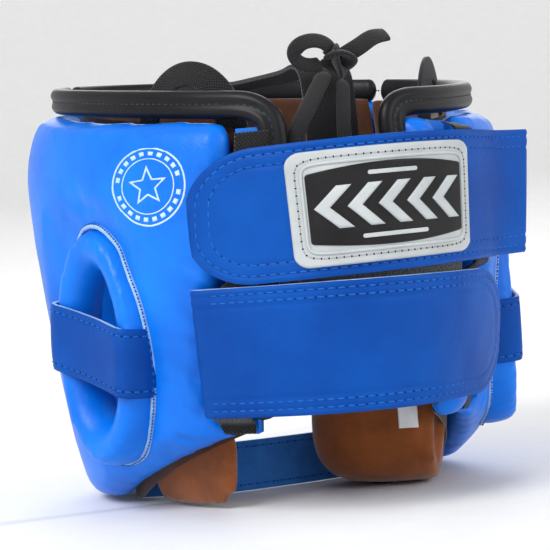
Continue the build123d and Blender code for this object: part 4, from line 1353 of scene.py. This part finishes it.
def outline_ring(name, width, height, section, base, finish, closed_count=200):
    """A closed section carried round a rounded rectangle on the badge."""
    t = np.linspace(0, 2 * pi, 481)[:-1]
    power = 0.16
    x = width / 2 * np.sign(np.cos(t)) * np.abs(np.cos(t)) ** power
    y = height / 2 * np.sign(np.sin(t)) * np.abs(np.sin(t)) ** power
    path = evenly(np.vstack([np.stack([x, y], -1), [[x[0], y[0]]]]), closed_count + 1)[:-1]
    at = on_badge(path[:, 0], path[:, 1], base + 0 * path[:, 0])
    up = unit(on_badge(path[:, 0], path[:, 1], base + 1 + 0 * path[:, 0]) - at)
    ahead = unit(np.roll(at, -1, 0) - np.roll(at, 1, 0))
    return loop_along(name, at, np.cross(up, ahead), up, section, [finish], closed=True)


def badge():
    plate = rounded_patch("badge_base", BADGE[0], BADGE[1], 6.0, -0.3, 2.5, [BADGE_WHITE])
    settle(plate, "upper_strap", ["badge_base"])
    half_round = [(-0.8, 0.0), (-0.65, 0.6), (-0.25, 0.9), (0.25, 0.9), (0.65, 0.6), (0.8, 0.0)]
    rim = outline_ring("badge_frame", 73.0, 38.0, half_round, 2.4, BADGE_WHITE)
    settle(rim, "upper_strap", ["badge_frame"])
    field = rounded_patch("badge_panel", 70.4, 29.4, 1.2, 2.4, 3.3, [BADGE_BLACK], 0.6, 2.9)
    settle(field, "upper_strap", ["badge_panel"])
    t = np.linspace(0, 2 * pi, 481)[:-1]
    x = (BADGE[0] / 2 - 3.3) * np.sign(np.cos(t)) * np.abs(np.cos(t)) ** 0.2
    y = (BADGE[1] / 2 - 3.3) * np.sign(np.sin(t)) * np.abs(np.sin(t)) ** 0.2
    path = evenly(np.vstack([np.stack([x, y], -1), [[x[0], y[0]]]]), 300)
    line = on_badge(path[:, 0], path[:, 1], 2.5 + 0 * path[:, 0])
    out = on_badge(path[:, 0], path[:, 1], 3.5 + 0 * path[:, 0]) - line
    with_thread("badge_thread", line, out, "upper_strap", GREY_THREAD, length=2.3, gap=0.9, radius=0.33)


def chevrons():
    """Raised V-shaped bars pointing one way across the badge."""
    rows = 9
    share = np.linspace(-1, 1, 2 * rows + 1)
    across = np.linspace(0, 1, 9)
    pieces = []
    for number in range(5):
        middle = (number - 2) * 12.75 - 1.5
        y = share[:, None] * 9.0 + 0 * across[None]
        x = middle - 6.0 + across[None] * 6.0 + 9.0 * (1 - np.abs(share))[:, None]
        edge = np.minimum(np.minimum(across, 1 - across)[None] * 6.0, (1 - np.abs(share))[:, None] * 9.0)
        lift = 3.3 + 0.8 * (0.5 + 0.5 * round_edge(edge, 0.7))
        pieces.append(slab("badge_motif", on_badge(x, y, lift), on_badge(x, y, 3.1 + 0 * x),
                           share * 9, across * 6, [BADGE_WHITE]))
    for y_bar, reach in ((13.2, 11.0), (-13.2, 15.0)):
        x = spaced(2 * reach, 0.8, 1.0, 5) - reach
        tall = 0.9 * round_edge(reach - np.abs(x), 0.8)
        yy = y_bar + np.linspace(-1, 1, 7)[None] * tall[:, None]
        xx = x[:, None] + 0 * yy
        pieces.append(slab("badge_motif", on_badge(xx, yy, 3.7 + 0 * xx), on_badge(xx, yy, 3.1 + 0 * xx),
                           x + reach, np.linspace(0, 1.8, 7), [BADGE_WHITE]))
    join(pieces)
    return settle(pieces[0], "upper_strap", ["badge_motif"])


def join(pieces):
    """Several meshes made one, in the first one's object."""
    work = bmesh.new()
    for piece in pieces:
        work.from_mesh(piece.data)
    work.to_mesh(pieces[0].data)
    work.free()
    for piece in pieces[1:]:
        bpy.data.objects.remove(piece)


badge()
chevrons()


# ---------------------------------------------------------------- chin strap
CHIN = [(67.0, -20.0), (42.0, -7.0), (2.0, -8.0), (-34.0, -15.0), (-55.0, -31.0)]
CHIN_TAB = [(-66.5, -32.6), (-57.5, -25.6), (-47.5, -17.6)]


def upright(name, points, thickness, low, high, finishes, start=0.0, end=1.0, offset=0.0, relief=True):
    """A band on edge that follows a curve in plan; with relief it is pressed in along a stitch line near
    each edge.
    """
    path = through(points, 240)[int(start * 239):int(end * 239) + 1]
    ahead = unit(np.gradient(path, axis=0))
    sideways = np.stack([-ahead[:, 1], ahead[:, 0]], -1)
    z = spaced(high - low, 3.0, 1.2) + low
    edge = np.minimum(z - low, high - z)
    rows = np.exp(-((edge - 3.0) / 0.8) ** 2)
    puff = (0.3 - 0.3 * rows - 0.35 * (1 - smooth(edge / 1.2))) if relief else 0 * z
    path_at = lambda shift: np.concatenate([
        np.broadcast_to((path + sideways * offset)[:, None], (len(path), len(z), 2))
        + sideways[:, None] * shift[None, :, None],
        np.broadcast_to(z[None, :, None], (len(path), len(z), 1))], -1)
    front, back = path_at(thickness / 2 - 0.3 + puff), path_at(-thickness / 2 + 0.3 - puff)
    length = np.concatenate([[0.0], np.cumsum(np.linalg.norm(np.diff(path, axis=0), axis=1))])
    return slab(name, front, back, length, z - low, finishes), front, back, z


chin, chin_front, chin_back, chin_z = upright("chin_strap", CHIN, 3.0, 0.6, 25.6,
                                              [STRAP_BLUE, STRAP_BACK, RAW_EDGE])
settle(chin, "chin_strap", ["chin_strap"])
for k, z in enumerate((3.6, 22.6)):
    for face, grid, other in (("rear", chin_front, chin_back), ("front", chin_back, chin_front)):
        column = int(np.abs(chin_z - z).argmin())
        line = grid[6:-6, column]
        with_thread(f"chin_thread_{face}_{k}", line, line - other[6:-6, column], "chin_strap")
pile = upright("chin_hook_tape", CHIN, 0.8, 4.6, 21.6, [TAPE], 0.88, 0.99, -2.05, False)[0]
settle(pile, "chin_strap", ["chin_hook_tape"])
tab = upright("chin_tab", CHIN_TAB, STRAP, 2.6, 23.6, [STRAP_BLUE, STRAP_BACK, RAW_EDGE])[0]
settle(tab, "shell", ["chin_tab"])
pile = upright("chin_loop_tape", CHIN_TAB, 0.8, 4.6, 21.6, [TAPE], 0.4, 0.95, 1.8, False)[0]
settle(pile, "shell", ["chin_loop_tape"])
chin_line = through(CHIN, 240)
way = unit(chin_line[1] - chin_line[0])
anchor_points = [tuple(chin_line[0] - way * d) for d in (12.5, 6.0, 0.3)]
anchor = upright("chin_strap_anchor", anchor_points, 3.0, 0.6, 25.6,
                 [STRAP_BLUE, STRAP_BACK, RAW_EDGE])[0]
settle(anchor, "shell", ["chin_strap_anchor"])


# ---------------------------------------------------------------- cheek padding
def quad_region(corners, count_u, count_v):
    """Bilinear places between four (angle, z) corners, in turn round the region."""
    a, b, c, d = (np.array(k, float) for k in corners)
    u = (1 - np.cos(np.linspace(0, pi, count_u))) / 2
    v = (1 - np.cos(np.linspace(0, pi, count_v))) / 2
    uu, vv = np.meshgrid(u, v, indexing="ij")
    place = (a * ((1 - uu) * (1 - vv))[..., None] + b * (uu * (1 - vv))[..., None]
             + c * (uu * vv)[..., None] + d * ((1 - uu) * vv)[..., None])
    return place[..., 0], place[..., 1], uu, vv


def cushion(name, corners, outer, inner, finishes, power=0.5):
    """A pillow between two depths: both faces meet at the edge on a rounded section."""
    angle, z, uu, vv = quad_region(corners, 60, 44)
    roll = (4 * uu * (1 - uu)) ** (power / 1.6) * (4 * vv * (1 - vv)) ** (power / 1.6)
    middle, half = (outer + inner) / 2, (inner - outer) / 2
    front = place_panel(name.split("_")[0], angle, middle - half * roll, z)
    back = place_panel(name.split("_")[0], angle, middle + half * roll, z)
    return slab(name, front, back, uu[:, 0] * 100, vv[0] * 70, finishes)


for name, side in SIDES.items():
    face_angle = float(angle_where(60.5, 44.0, 0, 70))
    back_angle = float(angle_of_y(SEAM_Y + 15, 44.0))
    pad = cushion(name + "_cheek_pad",
                  [(face_angle + 1, 12.5), (back_angle, 10.0), (back_angle, 82.0), (face_angle + 1, 76.0)],
                  -7.0, 0.8, [BLUE])
    inflate(pad, voxel=2.8, cap=0.8)
    settle(pad, "shell", [name + "_cheek_pad"])
    front_angle = float(angle_of_y(SEAM_Y - 3, 40.0))
    rear_angle = float(angle_of_y(-12.5, 40.0))
    inner = cushion(name + "_cheek_lining",
                    [(front_angle, 3.5), (rear_angle, 3.5), (rear_angle, 69.0), (front_angle, 77.0)],
                    23.4, 34.5, [SUEDE])
    inflate(inner, voxel=3.0, cap=1.2)
    folds = []
    for k in range(9):
        a = front_angle + (rear_angle - front_angle) * (0.1 + 0.1 * k)
        places = [(a, 6.0), (a + 3 * np.sin(2.0 * k), 16.0), (a + 5 * np.sin(2.0 * k + 1), 30.0)]
        folds.append((skin_line(name, places, 34.0), 1.0, 2.4))
    creases(inner, folds)
    settle(inner, "shell", [name + "_cheek_lining"])


NECK_PLAN = {
    "left": [(84, -5), (66, -5), (57, 12), (52, 32), (48, 50), (54, 62), (70, 62), (84, 30)],
    "right": [(-86, -5), (-62, -4), (-34, -3), (-10, 3), (-4, 18), (-13, 35), (-35, 45),
              (-62, 51), (-76, 52), (-86, 30)],
}
NECK_HEIGHT = {"left": 44.0, "right": 60.0}


NECK_FLOOR = 1.2
NECK_FRONT = 25.2           # depth of the lining's inner face, which the pad lies against


def neck_pad(name):
    """Rings of the plan outline, drawn in below and above on a rounded upright section.

    Where a ring would pass through the lining, it is drawn in to lie against it.
    """
    outline = np.array(NECK_PLAN[name], float)
    ring = through(np.vstack([outline, outline[:1]]), 121)[:-1]
    middle = ring.mean(0)
    tall = NECK_HEIGHT[name]
    turn = np.linspace(-pi / 2, pi / 2, 40)
    size = np.abs(np.cos(turn)) ** 0.42
    z = NECK_FLOOR + (tall - NECK_FLOOR) * (0.5 + 0.5 * np.sign(np.sin(turn)) * np.abs(np.sin(turn)) ** 0.8)
    lobes = 1 + 0.05 * np.cos(3 * np.linspace(0, 2 * pi, 120, endpoint=False) + 0.5)[:, None]
    flat = middle + (ring - middle)[:, None] * (size[None] * lobes)[..., None]
    points = np.concatenate([flat, np.broadcast_to(z[None, :, None], flat.shape[:2] + (1,))], -1)
    angle = np.degrees(np.arctan2(np.abs(points[..., 0]), -points[..., 1]))
    for _ in range(12):
        on = skin(angle, NECK_FRONT, points[..., 2])
        seen = np.degrees(np.arctan2(on[..., 0], -on[..., 1]))
        wanted = np.degrees(np.arctan2(np.abs(points[..., 0]), -points[..., 1]))
        angle = angle + wanted - seen
    reach = np.hypot(on[..., 0], on[..., 1])
    here = np.hypot(points[..., 0], points[..., 1])
    shrink = np.minimum(1.0, reach / np.maximum(here, 1e-6))
    points[..., :2] *= shrink[..., None]
    return points


def neck_pieces():
    """Both neck pads; the right one has folds in its rear face."""
    pads = {}
    for name in SIDES:
        points = neck_pad(name)
        pad = pads[name] = loop_rings(name + "_neck_pad", points, [SUEDE])
        inflate(pad, voxel=3.2, cap=2.0)
        folds = []
        if name == "right":
            bends = [((-66, 50.5), (-62, 49.5)), ((-60, 50), (-55, 49)), ((-72, 52), (-69, 50)),
                     ((-52, 48.5), (-48, 47))]
            for k, (foot, head) in enumerate(bends):
                line = through([(*foot, 8.0 + 3 * k), ((foot[0] + head[0]) / 2 + 2, foot[1], 26.0),
                                (*head, 50.0)], 40)
                folds.append((laid_on(line, pad, 0.0), 2.4 - 0.3 * k, 3.0))
        creases(pad, folds)
        settle(pad, "shell", [name + "_neck_pad"])
    return pads


def loop_rings(name, points, finishes):
    """A closed form from rings of points, (around, up), drawn to a point at both ends."""
    rows, columns = points.shape[:2]
    i, j = (k.ravel() for k in np.meshgrid(np.arange(rows), np.arange(columns - 1), indexing="ij"))
    faces = np.stack([i * columns + j, (i + 1) % rows * columns + j,
                      (i + 1) % rows * columns + j + 1, i * columns + j + 1], -1)
    uvs = np.stack([np.stack([i, i + 1, i + 1, i], -1), np.stack([j, j, j + 1, j + 1], -1)], -1)
    return build(name, points.reshape(-1, 3), faces, uvs.reshape(-1, 2).astype(float),
                 np.zeros(len(faces)), finishes)


neck_pads = neck_pieces()


def size_label():
    """A small blank cloth tag sewn to the right neck pad."""
    width, height, bottom = 12.0, 13.0, 29.5
    centre_x, start_y = -39.0, 52.0
    across = np.linspace(-width / 2, width / 2, 13)
    z = np.linspace(bottom, bottom + height, 15)
    aa, zz = np.meshgrid(across, z, indexing="ij")
    turn = radians(162.0)
    curl = 0.35 * np.sin(pi * (zz - bottom) / height) + 0.2 * np.sin(pi * (aa / width + 0.5))
    flat = np.stack([centre_x + aa * cos(turn), start_y + aa * sin(turn), zz], -1)
    on = laid_on(flat.reshape(-1, 3), neck_pads["right"], 0.3).reshape(flat.shape)
    out = np.array([sin(turn), -cos(turn), 0.0])
    back = on + out * curl[..., None]
    tag = slab("size_label", back + out * 0.4, back, across + width / 2, z - bottom, [LABEL])
    settle(tag, "shell", ["size_label"])


size_label()


# ---------------------------------------------------------------- crown webbing
CROWN = [(-92.0, 208.0), (-60.0, 210.0), (0.0, 206.0), (50.0, 203.0), (70.0, 203.0),
         (79.0, 197.0), (82.0, 182.0), (83.0, 160.0)]
path = through(CROWN, 200)
ahead = unit(np.gradient(path, axis=0))
lift = np.stack([-ahead[:, 1], ahead[:, 0]], -1)
across = np.linspace(-12.5, 12.5, 27)
sag = -0.5 * np.sin(pi * (across + 12.5) / 25.0)[None] * np.sin(np.linspace(0, pi, 200))[:, None]
ribbon = lambda rise: np.stack(np.broadcast_arrays(
    4.0 + across[None], path[:, 0, None] + lift[:, 0, None] * (rise + sag),
    path[:, 1, None] + lift[:, 1, None] * (rise + sag)), -1)
crown = slab("crown_strap", ribbon(1.0), ribbon(-1.0), np.linspace(0, 215, 200), across + 12.5, [WEB])
settle(crown, "shell", ["crown_strap"])

for name, side in SIDES.items():
    base = rim_height(52.0) - 26
    top = rim_height(52.0) + 13.0 - base
    turn = np.linspace(0, pi, 90)
    wide = np.linspace(0, 11.0, 13)
    y = 52.0 + (26.0 - wide[None]) * np.cos(turn)[:, None]
    z = base + (top - wide[None]) * np.sin(turn)[:, None]
    depth = 24.3
    angle = np.degrees(np.arccos(np.clip(-y / ((HALF_DEPTH - depth) * girth(z)), -1, 1)))
    outer = skin(side * angle, depth, z)
    inner = skin(side * angle, depth + 1.9, z)
    arch = slab(name + "_crown_loop", outer, inner, turn * 30, wide, [WEB])
    settle(arch, "shell", [name + "_crown_loop"])


# ---------------------------------------------------------------- crown lace
LEFT_LEG = [(9.5, 93.0, 197.0), (19.0, 98.0, 184.0), (28.0, 99.0, 170.0), (31.5, 96.0, 155.0),
            (29.0, 90.0, 141.0)]
RIGHT_LEG = [(1.5, 94.0, 193.5), (4.0, 97.0, 178.0), (4.5, 98.0, 162.0), (2.5, 94.0, 146.0),
             (1.0, 92.0, 138.0)]


def route(points):
    """The smooth line of a NURBS of order 3 through these control points, in millimetres."""
    curve = bpy.data.curves.new("route", "CURVE")
    curve.dimensions = "3D"
    curve.resolution_u = 16
    spline = curve.splines.new("NURBS")
    spline.points.add(len(points) - 1)
    flat = np.concatenate([(np.array(points) + SHIFT) * METRE, np.ones((len(points), 1))], 1)
    spline.points.foreach_set("co", flat.ravel())
    spline.order_u = 3
    spline.use_endpoint_u = True
    holder = bpy.data.objects.new("route", curve)
    mesh = bpy.data.meshes.new_from_object(holder)
    flat = np.empty(len(mesh.vertices) * 3, np.float32)
    mesh.vertices.foreach_get("co", flat)
    bpy.data.objects.remove(holder)
    bpy.data.curves.remove(curve)
    bpy.data.meshes.remove(mesh)
    return flat.reshape(-1, 3).astype(float) / METRE - SHIFT


def flat_section(width, thick):
    """A flat oval section: |across|^2.6 + |up|^2 = 1."""
    turn = np.linspace(0, 2 * pi, 25)[:-1]
    across = width / 2 * np.sign(np.cos(turn)) * np.abs(np.cos(turn)) ** 0.75
    return np.stack([across, thick / 2 * np.sin(turn)], -1)


def lace(name, line, width=8.0, thick=2.6, twist=(0.0, 0.0), facing=(0, 1, 0.2)):
    """A flat braided lace along a line, turned about it from one angle to another."""
    tangent = unit(np.gradient(line, axis=0))
    out = np.broadcast_to(np.array(facing, float), line.shape)
    across = unit(np.cross(tangent, out))
    out = np.cross(across, tangent)
    angle = np.radians(np.linspace(twist[0], twist[1], len(line)))[:, None]
    turned = across * np.cos(angle) + out * np.sin(angle)
    up = np.cross(turned, tangent)
    scale = np.ones(len(line))
    scale[:2] = scale[-2:][::-1] = (0.35, 0.85)
    return loop_along(name, line, turned, up, flat_section(width, thick), [LACE], scale=scale)


def leg(name, points, twist):
    """A hanging leg of the lace, from the crown knot down to the rear pad."""
    line = route(points)[::-1]
    piece = lace(name, line, twist=twist)
    settle(piece, "shell", [name])


def lace_knot():
    """A square knot: one loop of lace wrapped round another, as two crossed flat rings."""
    turn = np.linspace(0, 2 * pi, 61)
    centre = np.array([2.0, 91.8, 202.0])
    wrap = centre + np.stack([5.0 * np.cos(turn), 4.6 * np.sin(turn), 3.4 * np.sin(turn + 0.4)], -1)
    other = centre + np.stack([3.4 * np.sin(turn + 0.3), 4.0 * np.sin(turn), 5.2 * np.cos(turn)], -1)
    first = lace("lace_knot", wrap, 7.0, 2.8, facing=(0.1, 0.2, 1.0))
    second = lace("lace_knot_wrap", other, 6.0, 2.8, facing=(1.0, 0.1, 0.1))
    join([first, second])
    return settle(first, "shell", ["lace_knot"])


def lace_bow():
    """A flat loop of lace beside the knot."""
    turn = np.linspace(-0.4, 2 * pi - 1.0, 70)
    centre = np.array([14.5, 91.5, 206.0])
    line = centre + np.stack([-8.5 * np.cos(turn), 2.0 * np.sin(turn), 5.2 * np.sin(turn)], -1)
    return settle(lace("lace_bow", line, 7.0, 2.2, facing=(0.1, 1.0, 0.3)), "shell", ["lace_bow"])


def lace_tail():
    """The lace's free end, which leaves the knot on the wearer's right."""
    line = through([(0.5, 92.5, 204.0), (-7.0, 93.0, 208.0), (-15.0, 92.0, 212.5),
                    (-23.0, 90.5, 214.0)], 60)
    return settle(lace("lace_tail", line, 8.0, 2.2, twist=(-20, 30)), "shell", ["lace_tail"])


knots = [lace_knot(), lace_bow(), lace_tail()]
leg("lace_left_leg", LEFT_LEG, (10, 40))
leg("lace_right_leg", RIGHT_LEG, (0, -25))


# ---------------------------------------------------------------- printed emblem
def emblem():
    """Two rings with dots between them and a star, printed on the left panel."""
    centre_angle, centre_z, per_degree = 121.0, 152.0, 2.0
    turn = np.linspace(0, 2 * pi, 121)
    strips = []
    for inner, outer in ((17.6, 18.4), (12.6, 13.1)):
        r = np.array([inner, outer])[None]
        strips.append((r * np.cos(turn)[:, None], r * np.sin(turn)[:, None]))
    for k in range(22):
        if k in (0, 11):
            continue
        a = np.linspace(-0.075, 0.075, 5)[:, None] + k * 2 * pi / 22
        r = np.linspace(14.4, 16.4, 3)[None]
        strips.append((r * np.cos(a), r * np.sin(a)))
    corner = pi / 2 + np.arange(11) * pi / 5
    points = np.where(np.arange(11) % 2 == 0, 9.8, 4.3)
    edge = evenly(np.stack([points * np.cos(corner), points * np.sin(corner)], -1), 81)
    strips.append((edge[:, :1] * np.array([[0.78, 1.0]]), edge[:, 1:] * np.array([[0.78, 1.0]])))
    made = []
    for x, y in strips:
        flat = skin(centre_angle - x / per_degree, -12.0, centre_z + y)
        shape = flat.shape
        on = laid_on(flat.reshape(-1, 3), covers["left"], 0.12).reshape(shape)
        out = unit(on * (1, 1, 0))
        made.append(slab("side_emblem", on, on - out * 0.3, np.arange(shape[0]) * 1.0,
                         np.arange(shape[1]) * 1.0, [PRINT]))
    join(made)
    settle(made[0], "shell", [])


emblem()


# ---------------------------------------------------------------- floor, light, camera
def studio():
    """A pale bowl: flat floor, then a quarter circle up to an upright wall all round."""
    profile = np.vstack([np.stack([np.linspace(0.0, 1600, 12), np.zeros(12)], -1),
                         np.stack([1600 + 1200 * np.sin(np.linspace(0, pi / 2, 24)[1:]),
                                   1200 - 1200 * np.cos(np.linspace(0, pi / 2, 24)[1:])], -1),
                         [[2800.0, 2600.0]]])
    turn = np.linspace(0, 2 * pi, 97)
    x = profile[None, :, 0] * np.cos(turn)[:, None]
    y = profile[None, :, 0] * np.sin(turn)[:, None]
    z = profile[None, :, 1] + 0 * x
    top = np.stack([x, y, z], -1)
    away = np.stack([x * 1.002, y * 1.002, z - 4.0], -1)
    floor = slab("studio_floor", top, away, turn, profile[:, 0], [
        plain("studio_paper", (0.86, 0.86, 0.86), (0.88, 0.88, 0.88), 0.9, 0.0)])


studio()


def soft_light(name, place, size, power, aim=(0.0, 0.0, 0.11)):
    lamp = bpy.data.lights.new(name, "AREA")
    lamp.shape = "RECTANGLE"
    lamp.size, lamp.size_y = size
    lamp.energy = power
    holder = bpy.data.objects.new(name, lamp)
    bpy.context.scene.collection.objects.link(holder)
    holder.location = place
    holder.rotation_euler = (Vector(place) - Vector(aim)).to_track_quat("Z", "Y").to_euler()


soft_light("key", (1.3, 0.9, 1.3), (0.9, 0.9), 30.0)
soft_light("fill", (-1.1, 1.4, 0.8), (1.2, 1.2), 12.0)
soft_light("front", (-0.6, -1.6, 1.2), (1.4, 1.4), 14.0)
world = bpy.data.worlds.new("pale_room")
world.use_nodes = True
world.node_tree.nodes["Background"].inputs["Color"].default_value = (1.0, 1.0, 1.0, 1.0)
world.node_tree.nodes["Background"].inputs["Strength"].default_value = 0.62
bpy.context.scene.world = world
bpy.context.scene.view_settings.view_transform = "Standard"

AZIMUTH, ELEVATION, DISTANCE, ROLL = radians(160.0), radians(1.0), 0.76, radians(-4.0)
AIM = Vector((0.0, -0.0067, 0.1))
LENS, SENSOR, LENS_SHIFT = 98.2, 36.0, (-0.0255, 0.027)
back = Vector((sin(AZIMUTH) * cos(ELEVATION), -cos(AZIMUTH) * cos(ELEVATION), sin(ELEVATION)))
lens = bpy.data.cameras.new("camera")
lens.sensor_width = SENSOR
lens.lens = LENS
lens.shift_x, lens.shift_y = LENS_SHIFT
camera = bpy.data.objects.new("camera", lens)
bpy.context.scene.collection.objects.link(camera)
camera.rotation_mode = "QUATERNION"
camera.location = AIM + back * DISTANCE
turned = back.to_track_quat("Z", "Y").to_matrix() @ Matrix.Rotation(ROLL, 3, "Z")
camera.rotation_quaternion = turned.to_quaternion()
bpy.context.scene.camera = camera

bpy.context.view_layer.update()
